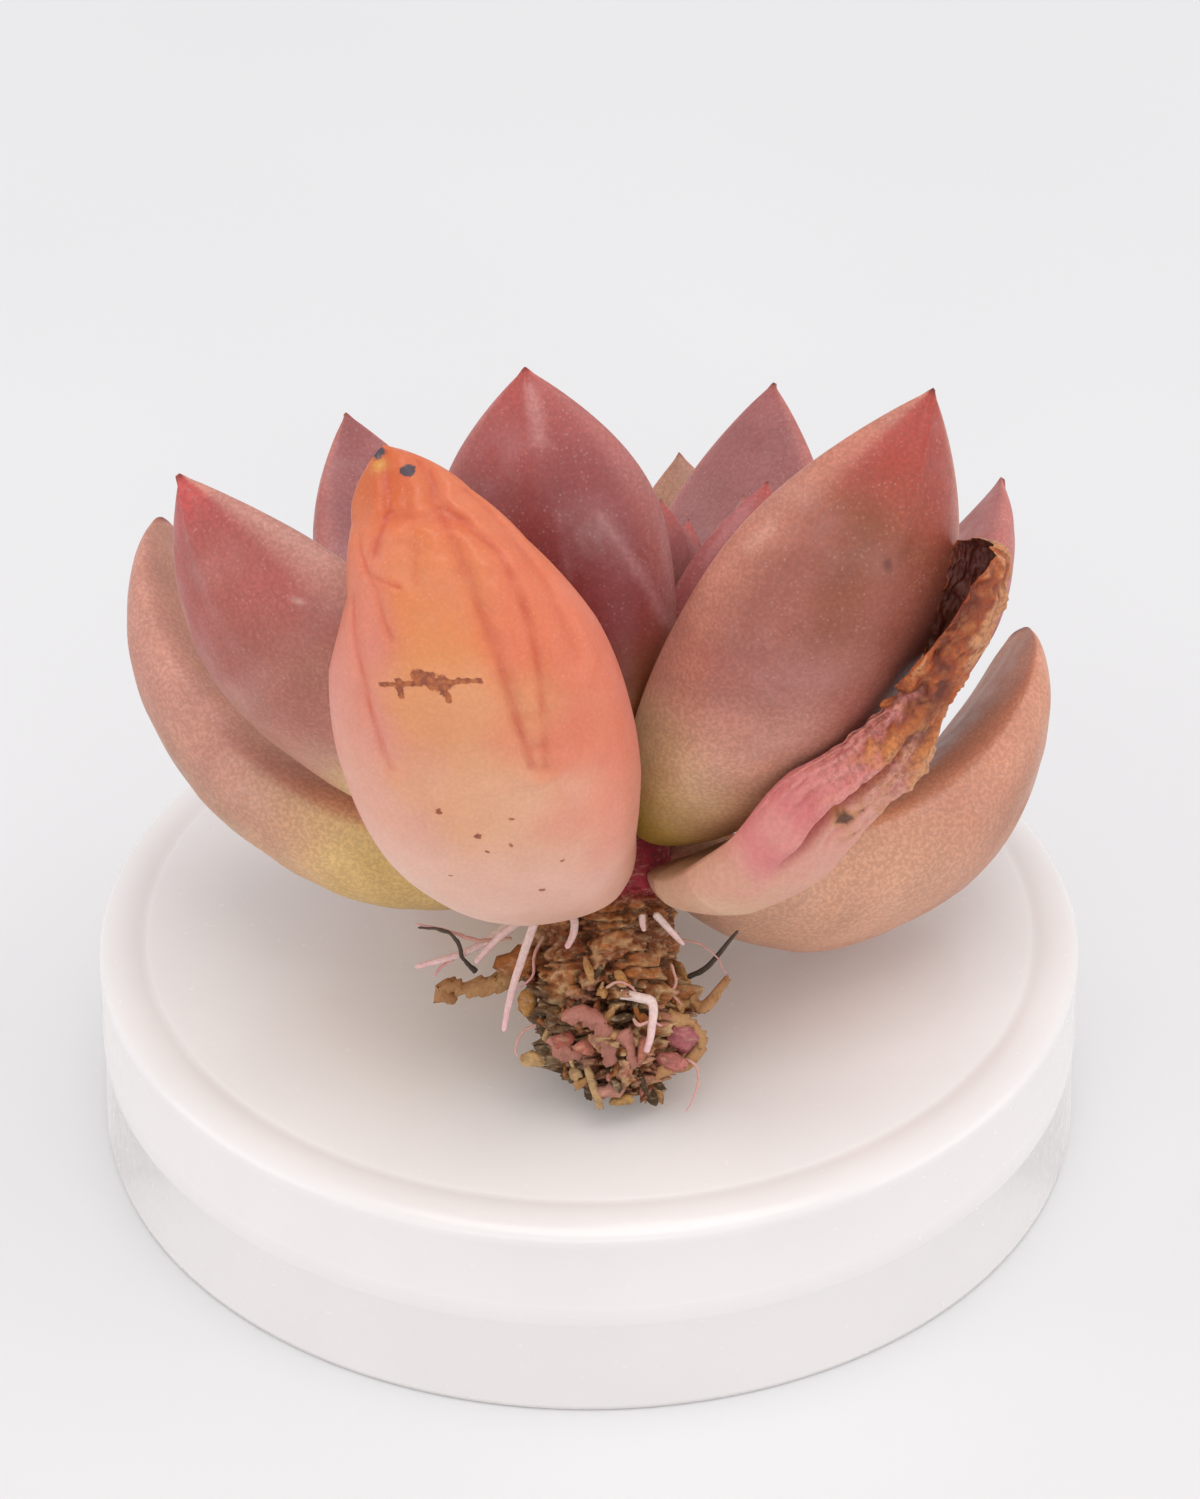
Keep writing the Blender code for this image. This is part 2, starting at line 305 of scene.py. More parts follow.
# Shapes from the oldest leaf up, mostly as the frame has them; a lower blunt gives a rounder tip
largeLeaves = [
    dict(
        stray=-7, size=(33.5, 10.6, 5), lean=(95, 18), drift=(-12, 12),
        twist=-17, widest=0.37, fullness=1.3,
    ),
    dict(stray=-2, size=(36, 16.8, 7.6), lean=(103, 18), drift=(-2, 0), twist=3, widest=0.50),
    dict(
        stray=-1, size=(36.4, 16.8, 8.2), lean=(99, 0), drift=(10, -27),
        twist=-23, widest=0.48, fullness=1.1,
    ),
    dict(
        stray=1, size=(32.5, 16.5, 8), lean=(123, 15), drift=(3, 1),
        twist=14, widest=0.47, fullness=2.2, blunt=0.42,
    ),
    dict(
        stray=7, size=(36.5, 16, 8.2), lean=(107, 12), drift=(-2, -2),
        twist=6, widest=0.54, fullness=1.4, blunt=0.55,
    ),
    dict(stray=8, size=(35.2, 14.8, 7.8), lean=(63, 30), drift=(-3, 11), twist=14, widest=0.54),
    dict(stray=2, size=(33.2, 14.4, 6.0), lean=(80, 15), drift=(1, 4), twist=2, widest=0.48),
    dict(stray=2, size=(33, 17, 6.6), lean=(80, 32), drift=(-3, -5), twist=-13, widest=0.54),
    dict(stray=18, size=(31, 15.4, 5.9), lean=(78, 25), drift=(7, 11), twist=-8, widest=0.53),
    dict(stray=2, size=(32, 14.6, 5.8), lean=(69, 20), drift=(5, 2), twist=4, widest=0.51),
    dict(stray=-5, size=(27.5, 13.6, 5.3), lean=(56, 8), drift=(-6, 0), twist=3, widest=0.61),
    dict(stray=7, size=(28.5, 14.2, 4.7), lean=(55, 13), drift=(12, -16), twist=-1, widest=0.50),
]

heart = {
    "leaves": 12,
    "firstSize": (18.6, 10.6, 4.2),
    "lastSize": (6.4, 3.4, 1.7),
    "firstLean": (50, 13),
    "lastLean": (20, 3),
    "drift": (3, 1),
    "twist": 4,
    "widest": 0.51,
}

# Outer-face colours from base to tip as (share of length, colour); rim is the colour of the
# edges; inner is the inner face; point is the very tip. Each mark is a colour, its width in mm,
# its strength and a route of (share of length, degrees round from the right edge)
leafColours = {
    1: dict(
        stops=[(0, "b39c50"), (0.3, "c9a27c"), (0.6, "c28674"), (1, "c07064")],
        rim="cd7c70",
        inner="b5826e",
    ),
    3: dict(
        stops=[(0, "c49c80"), (0.5, "c8947a"), (0.7, "ca8e72"), (1, "e2a686")],
        rim="dc9c80",
        inner="d0906c",
    ),
    4: dict(
        stops=[(0, "ac9040"), (0.3, "c4a46c"), (0.5, "c29478"), (0.8, "c88e7a"), (1, "d69c84")],
        rim="d29684",
        inner="c48c76",
    ),
    5: dict(
        stops=[
            (0, "a89038"), (0.24, "c0a07c"), (0.36, "bc8a76"),
            (0.5, "ac6e62"), (0.8, "a6604c"), (1, "b84a40"),
        ],
        rim="d08e78",
        inner="a06a5c",
        point="5a2414",
        marks=[
            ("8a5232", 1.7, 0.45, (0.80, 108), (0.64, 104)),
            ("5c2c1c", 0.16, 0.8, (0.75, 90)),
            ("5c2c1c", 0.10, 0.7, (0.60, 120)),
            # a painted highlight: a pale line near the edge
            ("e0ac98", 0.3, 0.45, (0.72, 160), (0.68, 165)),
        ],
    ),
    6: dict(stops=[(0, "9c964c"), (0.5, "b99474"), (1, "c06c62")], rim="cc8072", inner="b08c70"),
    7: dict(
        stops=[
            (0, "aaa03c"), (0.3, "c6ae78"), (0.5, "ba8670"),
            (0.65, "b26c60"), (0.85, "b46058"), (1, "c45450"),
        ],
        rim="d09a8a",
        inner="a86e60",
        point="7a241c",
        marks=[
            ("e6c0b4", 0.12, 0.6, (0.74, 45), (0.71, 42)),
            ("7c3a34", 0.14, 0.5, (0.86, 95)),
            ("7c3a34", 0.10, 0.5, (0.70, 110)),
        ],
    ),
    8: dict(
        stops=[(0, "a09048"), (0.4, "ab7c60"), (0.7, "b3605e"), (0.9, "cb716a"), (1, "c85a54")],
        rim="cc8078",
        inner="a8625c",
    ),
    9: dict(
        stops=[
            (0, "8f8f3c"), (0.35, "9a7060"), (0.6, "a06464"),
            (0.8, "a56466"), (0.92, "bd6e68"), (1, "c05c56"),
        ],
        rim="c87e76",
        inner="a06666",
    ),
    10: dict(
        stops=[
            (0, "84842a"), (0.2, "84662e"), (0.35, "844e3a"),
            (0.6, "924848"), (0.8, "9c5452"), (1, "c25c54"),
        ],
        rim="c27c76",
        inner="94585a",
        marks=[
            # painted highlights: the two pale streaks and the pale line along the keel near the tip
            ("d09c9c", 0.34, 0.45, (0.70, 55), (0.58, 38), (0.45, 20)),
            ("c89696", 0.22, 0.3, (0.72, 75), (0.60, 75)),
            ("d8a09a", 0.45, 0.45, (0.96, 80), (0.86, 80)),
            ("6c2a2c", 0.16, 0.6, (0.64, 60)),
        ],
    ),
    11: dict(
        stops=[(0, "8f8f3c"), (0.35, "9a7060"), (0.6, "ab7470"), (0.85, "ab6866"), (1, "bd5c56")],
        rim="c47a72",
        inner="a86e6c",
    ),
}
heartColours = dict(
    stops=[(0, "9a9a4c"), (0.4, "a87e66"), (0.7, "a06462"), (1, "bc5c56")],
    rim="b86260",
    inner="a67a6c",
)


# A share of a leaf's width or depth along its length t, which rises to its peak and falls to 0 at the tip
def swell(t, peak, base, fullness, blunt=rosette["blunt"]):
    rising = base + (1 - base) * np.sin(math.pi / 2 * np.clip(t / peak, 0, 1)) ** 0.8
    falling = np.cos(math.pi / 2 * np.clip((t - peak) / (1 - peak), 0, 1) ** fullness) ** blunt
    return np.where(t < peak, rising, falling)


# Stations, points and frames (along, across, outward) of a leaf's midline in the plant's frame
def leafMidline(number, leaf, steps=80):
    bearing = math.radians(rosette["firstBearing"] + rosette["goldenAngle"] * number + leaf["stray"])
    height = rosette["neckHeight"] + rosette["spacing"] * number
    narrowing = rosette["coreTaper"] * rosette["spacing"] * number
    radius = max(rosette["coreLeast"], rosette["coreRadius"] - narrowing)
    out = np.array([math.sin(bearing), -math.cos(bearing), 0.0])
    side = np.array([math.cos(bearing), math.sin(bearing), 0.0])
    up = np.array([0.0, 0.0, 1.0])
    t = np.linspace(0.0, 1.0, steps)[:, None]
    low, high = leaf["lean"]
    leaning = np.radians(low + (high - low) * t**0.8)
    drifting = np.tan(np.radians(leaf["drift"][0] + leaf["drift"][1] * t))
    along = np.cos(leaning) * up + np.sin(leaning) * out + drifting * side
    along /= np.linalg.norm(along, axis=1, keepdims=True)
    start = out * (radius + rosette["gap"]) + up * height
    paces = (along[:-1] + along[1:]) / 2 * leaf["size"][0] / (steps - 1)
    points = start + np.vstack([np.zeros(3), np.cumsum(paces, axis=0)])
    across = side - along * (along @ side)[:, None]
    across /= np.linalg.norm(across, axis=1, keepdims=True)
    outward = np.cross(across, along)
    turn = math.radians(leaf["twist"])
    across, outward = (
        math.cos(turn) * across + math.sin(turn) * outward,
        math.cos(turn) * outward - math.sin(turn) * across,
    )
    return t[:, 0], points, along, across, outward


def follow(stations, rows, t):
    return np.stack([np.interp(t, stations, column) for column in rows.T], axis=-1)


# A sphere whose rings become the leaf's cross-sections: its shares of length and its angles
def startLeaf(name, around, rings):
    piece, sphere = addSphere(name, around, rings)
    t = (1 - np.clip(sphere[:, 2], -1, 1)) / 2
    angle = np.arctan2(sphere[:, 1], sphere[:, 0])
    return piece, t, angle, offPoles(sphere)


def stopColours(stops, t):
    places = [place for place, _ in stops]
    return follow(places, np.array([paint(colour) for _, colour in stops]), t)


def leafDepth(leaf, t):
    peak, base, fullness = rosette["thickestAt"], rosette["baseThickness"], rosette["depthFullness"]
    return leaf["size"][2] * swell(t, peak, base, fullness)


def faceShare(angle):  # how much of the depth lies on the outer face, and how much on the inner
    return np.where(np.sin(angle) > 0, rosette["outerShare"], 1 - rosette["outerShare"])


def leafSurface(number, leaf, t, angle, ring=1.0):
    stations, points, along, across, outward = leafMidline(number, leaf)
    _, width, thickness = leaf["size"]
    fullness = leaf.get("fullness", rosette["leafFullness"])
    blunt = leaf.get("blunt", rosette["blunt"])
    halfWidth = width / 2 * swell(t, leaf["widest"], rosette["baseWidth"], fullness, blunt)
    depth = leafDepth(leaf, t)
    u = np.cos(angle)
    keel = 0.045 * thickness * bell(u, 0.16) * ease(t, 0.5, 0.92) * (np.sin(angle) > 0)
    rows = (
        follow(stations, points, t * rosette["lengthShown"])
        + follow(stations, along, t) * (rosette["tipLength"] * ease(t, 0.985, 1.0))[:, None]
        + follow(stations, across, t) * (ring * halfWidth * u)[:, None]
        + follow(stations, outward, t) * (ring * (depth * faceShare(angle) * np.sin(angle) + keel))[:, None]
    )
    return rows, follow(stations, outward, t)


# The least distance in mm from each row to a route of (share of length, degrees) on a surface;
# finer is how many short steps the way between two of its points has
def distanceTo(rows, route, surface, finer=60):
    places = np.array(route, float)
    steps = np.linspace(0, len(places) - 1, finer * (len(places) - 1) + 1)
    t = np.interp(steps, np.arange(len(places)), places[:, 0])
    angle = np.radians(np.interp(steps, np.arange(len(places)), places[:, 1]))
    line, _ = surface(t, angle)
    nearest = np.full(len(rows), np.inf)
    for point in line:
        nearest = np.minimum(nearest, ((rows - point) ** 2).sum(axis=1))
    return np.sqrt(nearest)


def paintLeaf(piece, rows, t, angle, colours, seed, surface):
    wander = 0.05 * ripple(rows, 9.0, seed)
    outer = stopColours(colours["stops"], np.clip(t + wander, 0, 1))
    inner = blendPaint(stopColours(colours["stops"], t), paint(colours["inner"]), np.full(len(t), 0.75))
    face = ease(-np.sin(angle), -0.05, 0.35)
    skin = blendPaint(outer, inner, face)
    # Painted light: each leaf's lower part is lightened, standing in for light reaching it from below
    skin *= (1 + rosette["paintedBaseLight"] * (1 - ease(t, 0.3, 0.62)))[:, None]
    edge = ease(np.abs(np.cos(angle)), 0.72, 1.0) * ease(t, 0.3, 0.6) * 0.8
    skin = blendPaint(skin, paint(colours["rim"]), edge)
    for colour, width, strength, *route in colours.get("marks", []):
        gap = distanceTo(rows, route, surface, 20) * (1 + 0.25 * ripple(rows, 2.0, len(route)))
        skin = blendPaint(skin, paint(colour), strength * bell(gap, width))
    skin = blendPaint(skin, paint(colours.get("point", "8c3a34")), ease(t, 0.99, 0.998) * 0.9)
    skin *= (1 + 0.05 * ripple(rows, 4.0, seed + 40))[:, None]
    setPaint(piece, "skin", np.clip(skin - rosette["sheenAllowance"], 0.01, 1))
    setShare(piece, "bloom", np.clip(0.05 + 0.08 * ripple(rows, 7.0, seed + 80), 0.0, 0.2))


def makeLeaf(number, leaf, colours, around, rings):
    piece, t, angle, ring = startLeaf(f"leaf_{number:02d}_skin", around, rings)
    rows, outward = leafSurface(number, leaf, t, angle, ring)
    sway = 0.10 * ripple(rows, 11.0, number + 3) + 0.035 * ripple(rows, 3.5, number + 31)
    push = sway * ease(t, 0, 0.15) * np.abs(np.sin(angle))
    setPoints(piece, toPlant(rows + outward * push[:, None]))
    paintLeaf(piece, rows, t, angle, colours, number, lambda t, angle: leafSurface(number, leaf, t, angle))
    finishPiece(piece, [f"leaf_{number:02d}"], leafSkin)


def mixRow(first, last, share):
    return tuple(a + (b - a) * share for a, b in zip(first, last))


print("leaves")
for number, colours in leafColours.items():  # the withered leaf and the front leaf are made further down
    makeLeaf(number, largeLeaves[number], colours, 80, 96)

for place in range(heart["leaves"]):
    share = place / (heart["leaves"] - 1)
    number = len(largeLeaves) + place
    leaf = dict(
        stray=0,
        size=mixRow(heart["firstSize"], heart["lastSize"], share),
        lean=mixRow(heart["firstLean"], heart["lastLean"], share),
        drift=heart["drift"],
        twist=heart["twist"],
        widest=heart["widest"],
    )
    makeLeaf(number, leaf, heartColours, 56, 64)


# The front leaf is losing water, and its places are (share of length, degrees round from the right edge)
frontLeaf = {
    # how far each side stands out from the midline, against a plain leaf, from base to tip
    "rightSide": [
        (0, 0.75), (0.2, 0.75), (0.35, 0.9), (0.5, 1.0), (0.65, 1.1), (0.8, 1.15), (0.9, 1.3), (1, 1.8),
    ],
    "leftSide": [(0, 1.5), (0.2, 1.1), (0.5, 1.0), (0.7, 0.95), (0.8, 0.8), (0.9, 0.95), (1, 1.6)],
    # each groove: depth and width in mm, redness, then its places
    "grooves": [
        (0.22, 0.40, 0.85, (0.98, 95), (0.90, 100), (0.85, 120)),
        (0.10, 0.25, 0.60, (0.88, 140), (0.80, 120), (0.74, 110)),
        (0.12, 0.45, 0.55, (0.80, 150), (0.70, 130), (0.58, 125)),
        (0.24, 0.50, 0.70, (0.96, 40), (0.90, 60), (0.75, 65), (0.53, 70)),
        (0.20, 0.42, 0.70, (0.88, 55), (0.80, 40), (0.68, 50), (0.52, 65)),
        (0.20, 0.60, 0.35, (0.90, 20), (0.75, 25), (0.63, 35)),
        (0.08, 0.16, 0.95, (0.82, 120), (0.80, 100)),
        (0.16, 0.45, 0.25, (0.89, 95), (0.86, 50)),
        (0.14, 0.60, 0.30, (0.95, 75), (0.80, 90)),
    ],
    # the scar: width in mm and places
    "scar": [
        (0.15, (0.69, 120), (0.68, 95), (0.66, 75)),
        (0.42, (0.69, 100), (0.67, 90)),
        (0.20, (0.67, 90), (0.65, 90)),
        (0.18, (0.69, 110), (0.67, 110)),
    ],
    # small brown dots: radius in mm and place
    "dots": [
        (0.24, 0.51, 110), (0.22, 0.46, 100), (0.20, 0.43, 90), (0.14, 0.43, 100),
        (0.15, 0.37, 75), (0.20, 0.33, 90), (0.12, 0.47, 85), (0.13, 0.39, 120),
    ],
    # colours as (share of length, left, middle, right)
    "colours": [
        (0.0, "e6bca6", "e6b89c", "e2b298"),
        (0.3, "eac4b2", "e8b8a6", "e4a48e"),
        (0.5, "e4aa94", "e4aa84", "e28468"),
        (0.7, "d88472", "dc8e58", "e07c5a"),
        (0.9, "dc7c56", "dc7844", "e08058"),
        (1.0, "c86a3c", "c85c2c", "d06a3c"),
    ],
    "grooveRed": "c0422a",
    "grooveGlow": "d8683c",
    "rimPink": "e08a7c",
    # dry specks at the tip: radius in mm, reach and place
    "specks": [(0.5, 1.6, 0.99, 130), (0.42, 1.7, 0.95, 65)],
    # the yellow spot beside them: colour, radius in mm and place
    "yellow": ("d8a24a", 0.45, 0.97, 110),
}


def sideShare(side, t):
    return np.interp(t, *zip(*frontLeaf[side]))


def frontSurface(t, angle, ring=1.0):
    leaf = largeLeaves[2]
    stations, points, _, across, outward = leafMidline(2, leaf)
    halfWidth = leaf["size"][1] / 2 * swell(t, leaf["widest"], rosette["baseWidth"], leaf["fullness"])
    depth = leafDepth(leaf, t) * faceShare(angle)
    u = np.cos(angle)
    side = np.where(u > 0, sideShare("rightSide", t), sideShare("leftSide", t))
    side = 1 + (side - 1) * ease(np.abs(u), 0.0, 0.6)
    rows = (
        follow(stations, points, t)
        + follow(stations, across, t) * (ring * halfWidth * side * u)[:, None]
        + follow(stations, outward, t) * (ring * depth * np.sin(angle))[:, None]
    )
    return rows, follow(stations, outward, t)


def gapTo(rows, surface, share, degrees):  # the distance in mm from each row to one place on a surface
    spot, _ = surface(np.array([share]), np.radians([degrees]))
    return np.linalg.norm(rows - spot[0], axis=1)


def makeFrontLeaf():
    piece, t, angle, ring = startLeaf("leaf_02_skin", 224, 360)
    rows, outward = frontSurface(t, angle, ring)
    shape = rows.copy()
    places = [row[0] for row in frontLeaf["colours"]]
    skin = np.zeros_like(rows)
    wander = np.clip(t + 0.025 * ripple(shape, 8.0, 5), 0, 1)
    lean = np.cos(angle) + 0.12 * ripple(shape, 6.0, 6)
    left, right = ease(-lean, 0.1, 0.8), ease(lean, 0.1, 0.8)
    for column, weight in ((1, left), (2, 1 - left - right), (3, right)):
        colours = np.array([paint(row[column]) for row in frontLeaf["colours"]])
        skin += weight[:, None] * follow(places, colours, wander)
    push = 0.12 * ripple(shape, 9.0, 12) * ease(t, 0.1, 0.3)
    push += 0.10 * ripple(shape * [1.6, 1.0, 0.5], 3.2, 14) * ease(t, 0.72, 0.9)
    outer = (np.sin(angle) > -0.3).astype(float)
    red, glow, rimPink = paints(frontLeaf["grooveRed"], frontLeaf["grooveGlow"], frontLeaf["rimPink"])
    for depth, width, redness, *route in frontLeaf["grooves"]:
        gap = distanceTo(shape, route, frontSurface) * (1 + 0.18 * ripple(shape, 1.6, len(route)))
        # The flesh stands up a little on both sides of a groove
        push -= depth * bell(gap, width) - 0.45 * depth * bell(gap - 1.9 * width, width)
        fade = bell(gap, 0.5 * width) * (0.7 + 0.3 * ripple(shape, 2.0, 3)) * outer
        skin = blendPaint(skin, red, np.clip(redness * fade, 0, 0.85))
        skin = blendPaint(skin, glow, np.clip(0.28 * redness * bell(gap, 2.6 * width) * outer, 0, 0.4))
    scar = np.zeros(len(rows))
    for width, *route in frontLeaf["scar"]:
        scar = np.maximum(scar, np.clip(1.5 - distanceTo(shape, route, frontSurface) / width, 0, 1))
    for radius, *place in frontLeaf["dots"]:
        scar = np.maximum(scar, np.clip(1.5 - gapTo(shape, frontSurface, *place) / radius, 0, 1))
    push += 0.05 * ease(scar, 0.3, 0.9)
    dry = np.zeros(len(rows))
    for radius, reach, *place in frontLeaf["specks"]:
        dry = np.maximum(dry, np.clip(reach - gapTo(shape, frontSurface, *place) / radius, 0, 1))
    yellow, radius, *place = frontLeaf["yellow"]
    skin = blendPaint(skin, paint(yellow), 0.8 * bell(gapTo(shape, frontSurface, *place), radius))
    edge = ease(np.abs(np.cos(angle)), 0.9, 1.0) * ease(t, 0.15, 0.3) * (1 - ease(t, 0.6, 0.75))
    skin = blendPaint(skin, rimPink, 0.45 * edge)
    rows += outward * (push * ring * (0.25 + 0.75 * ease(np.sin(angle), -0.2, 0.4)))[:, None]
    setPoints(piece, toPlant(rows))
    setPaint(piece, "skin", np.clip(skin - 0.01, 0.01, 1))
    setShare(piece, "bloom", np.clip(0.04 + 0.05 * ripple(shape, 7.0, 80), 0.0, 0.15))
    setShare(piece, "scar", scar)
    setShare(piece, "dry", dry)
    finishPiece(piece, ["leaf_02"], frontSkin)


print("front leaf")
frontSkin = makeLeafSkin("frontLeafSkin", 0.07, 0.10, 0.2, marked=True)
makeFrontLeaf()


# The oldest leaf has withered: fleshy at its base, then folded, then dry and curled to its end
witheredLeaf = {
    # by share of length: half-width of the blade in mm, how far it curls in radians, its thickness
    # in mm, and how many degrees it has turned on itself
    "form": [
        (0.0, 1.6, 0.3, 1.6, 0),
        (0.08, 3.6, 0.35, 3.2, 0),
        (0.2, 5.0, 0.4, 4.2, 0),
        (0.32, 5.3, 0.6, 4.2, 2),
        (0.42, 5.0, 0.9, 3.2, 8),
        (0.50, 4.5, 1.2, 2.2, 16),
        (0.56, 3.8, 1.5, 1.5, 22),
        (0.62, 2.9, 1.7, 1.0, 22),
        (0.70, 2.8, 1.8, 0.7, 8),
        (0.78, 2.9, 1.8, 0.6, -14),
        (0.86, 3.0, 1.75, 0.5, -34),
        (0.95, 2.8, 1.6, 0.5, -46),
        (0.985, 2.4, 1.4, 0.45, -52),
        (1.0, 0.6, 1.2, 0.4, -52),
    ],
    # the deep crease beside the pleat, then the spots: share of length, degrees round and
    # a spot's radius in mm
    "crease": [(0.30, 130), (0.40, 120), (0.50, 115), (0.58, 105), (0.66, 105)],
    "spots": [(0.48, 105, 0.30), (0.44, 90, 0.30), (0.50, 100, 0.14), (0.42, 85, 0.12)],
    # outer colours of the dried length
    "dried": [
        (0, "cd8466"), (0.55, "cd8464"), (0.63, "cc7c40"), (0.70, "c46a2c"),
        (0.80, "b25620"), (0.92, "9a4014"), (1, "b45c2c"),
    ],
    # where a place is measured in degrees round, this many mm of skin make one degree
    "skinPerDegree": 0.08,
    "length": 33.5,
    # the edge's wander is drawn on a plain band this long, with its edges this far from the middle
    "rimBand": (33, 4),
}


def makeWitheredLeaf():
    leaf = largeLeaves[0]
    piece, t, angle, ring = startLeaf("withered_leaf_skin", 200, 380)
    stations, points, _, across, outward = leafMidline(0, leaf)
    form = np.array(witheredLeaf["form"])
    halfWidth, curl, thick, turned = (np.interp(t, form[:, 0], form[:, i]) for i in range(1, 5))
    turn = np.radians(turned)[:, None]
    acrossAt = follow(stations, across, t)
    outAt = follow(stations, outward, t)
    acrossAt, outAt = (
        np.cos(turn) * acrossAt + np.sin(turn) * outAt,
        np.cos(turn) * outAt - np.sin(turn) * acrossAt,
    )
    u = np.cos(angle)
    degrees = np.degrees(angle) % 360
    arc = curl * u
    dried = ease(t, 0.42, 0.64)
    # The blade's edge wanders where it has dried
    bandLength, bandEdge = witheredLeaf["rimBand"]
    rim = np.stack([t * bandLength, bandEdge * np.sign(u), 0 * t], axis=-1)
    halfWidth = halfWidth * (1 + dried * (0.10 * ripple(rim, 5.0, 2) + 0.05 * ripple(rim, 1.6, 21)))
    sideways = ring * halfWidth * np.sin(arc) / curl
    inward = ring * halfWidth * (1 - np.cos(arc)) / curl
    facing = np.cos(arc)[:, None] * outAt + np.sin(arc)[:, None] * acrossAt
    flesh = np.sign(np.sin(angle)) * np.abs(np.sin(angle)) ** (1 - 0.5 * dried)
    rows = (
        follow(stations, points, t)
        + acrossAt * sideways[:, None]
        - outAt * (inward - halfWidth * 0.33 * dried)[:, None]
        + facing * (ring * thick * faceShare(angle) * flesh)[:, None]
    )
    flat = np.stack([t * witheredLeaf["length"], halfWidth * u, 0 * t], axis=-1)
    folds = ripple(flat * [0.35, 2.2, 0], 4.5, 8)
    crumple = fractal(flat * [0.7, 1.5, 0], 0.75, 6, 5)
    creases = np.clip(1 - np.abs(fractal(flat * [0.45, 1.5, 0], 0.6, 9, 4)) * 3.2, 0, 1)
    wrinkled = ease(t, 0.36, 0.56)
    route = np.array(witheredLeaf["crease"])
    aside = (degrees - np.interp(t, route[:, 0], route[:, 1])) * witheredLeaf["skinPerDegree"]
    creased = ease(t, 0.32, 0.42) * (1 - ease(t, 0.6, 0.7))
    push = wrinkled * (0.26 * folds + 0.44 * crumple + 0.20 * creases)
    push += 0.06 * ripple(rows, 5.0, 15) * (1 - wrinkled)
    push += creased * (0.60 * bell(aside - 0.8, 0.45) - 0.90 * bell(aside, 0.26))
    pleats = np.sin(aside * 5.5 + 9 * t + 1.4 * ripple(flat, 4.0, 33))
    pleats *= ease(t, 0.36, 0.46) * (1 - ease(t, 0.64, 0.74))
    push += 0.13 * pleats
    rows += facing * (push * ring)[:, None]
    setPoints(piece, toPlant(rows))
    cream, peach, pink, rose, red = paints("dcb494", "dca48c", "db9288", "d4787a", "b4484c")
    pale, rust, brown, dark, amber = paints("dca070", "8e3810", "642008", "4a1206", "c88a58")
    spotHalo, spotInk = paints("c08048", "4a2410")
    colour = blendPaint(cream, peach, ease(t + 0.05 * ripple(rows, 5, 4), 0.12, 0.3))
    upper = ease(aside, -0.4, 0.5) * (1 - ease(aside, 4.5, 6.5))
    colour = blendPaint(colour, pink, ease(t + 0.04 * crumple, 0.26, 0.40) * (0.45 + 0.55 * upper))
    blush = ease(t, 0.27, 0.38) * (1 - 0.8 * ease(t, 0.48, 0.58)) * upper
    colour = blendPaint(colour, rose, blush * (0.55 + 0.2 * ripple(flat, 3.0, 44)))
    colour = blendPaint(colour, red, creased * bell(aside, 0.24) * 0.85)
    colour = blendPaint(colour, rose, ease(-pleats, 0.3, 0.9) * 0.5)
    browning = ease(creases, 0.45, 0.9) * ease(t, 0.42, 0.5) * ease(-aside, -0.3, 0.5)
    colour = blendPaint(colour, amber, browning * 0.6)
    tan = stopColours(witheredLeaf["dried"], t)
    # Painted highlight and shade: paler on the crumpled ridges, darker rust and brown down in the valleys
    tan = blendPaint(tan, pale, ease(crumple + 0.3 * folds, 0.10, 0.45) * 0.7)
    tan = blendPaint(tan, rust, ease(-crumple - 0.3 * folds, 0.05, 0.35) * 0.75)
    tan = blendPaint(tan, brown, ease(-crumple - 0.2 * folds, 0.3, 0.6) * 0.8)
    # Painted shade: darker brown down the hollow of the fold
    paintedFoldShade = bell(aside, 0.55) * ease(t, 0.6, 0.66) * (1 - ease(t, 0.72, 0.8))
    tan = blendPaint(tan, brown, paintedFoldShade * 0.8)
    colour = blendPaint(colour, tan, ease(t + 0.12 * crumple + 0.03 * folds, 0.53, 0.63))
    # Painted shade: the inner face of the dried, curled part is made nearly black
    colour = blendPaint(colour, dark, ease(-np.sin(angle), 0.0, 0.3) * ease(t, 0.58, 0.7) * 0.92)
    for share, place, size in witheredLeaf["spots"]:
        along = (t - share) * witheredLeaf["length"]
        gap = np.hypot(along, (degrees - place) * witheredLeaf["skinPerDegree"]) + 0.5 * crumple
        colour = blendPaint(colour, spotHalo, ease(-gap, -2.4 * size, -1.1 * size) * 0.6)
        colour = blendPaint(colour, spotInk, ease(-gap, -size, -0.5 * size) * 0.9)
    setPaint(piece, "skin", np.clip(colour, 0, 1))
    setShare(piece, "dried", dried * (1 - 0.9 * ease(-np.sin(angle), 0.0, 0.3)))
    finishPiece(piece, ["withered_leaf"], makeWitheredSkin())


def makeWitheredSkin():
    shade = Shade("witheredLeafSkin", 0.5)
    shade.translucent(0.08, (1.0, 0.45, 0.25), 0.0008)
    dried = shade.attribute("dried")
    fine = shade.noise(3200, 4, 0.65)
    patch = shade.noise(1300, 4, 0.6)
    colour = shade.attribute("skin", "Color")
    stain = shade.times(shade.span(fine, 0.36, 0.56, 0.55, 0.0), dried)
    colour = shade.mix(stain, colour, (0.13, 0.03, 0.008))
    glow = shade.times(shade.span(patch, 0.5, 0.7, 0.0, 0.3), dried)
    colour = shade.mix(glow, colour, (0.70, 0.30, 0.10))
    colour = shade.mix(shade.span(fine, 0.42, 0.6, 0.12, 0.0), colour, (0.2, 0.05, 0.04))
    roughness = shade.span(patch, 0.3, 0.7, 0.42, 0.68)
    return shade.finish(colour, roughness, shade.bump(fine, 0.6, 0.00009))


print("withered leaf")
makeWitheredLeaf()


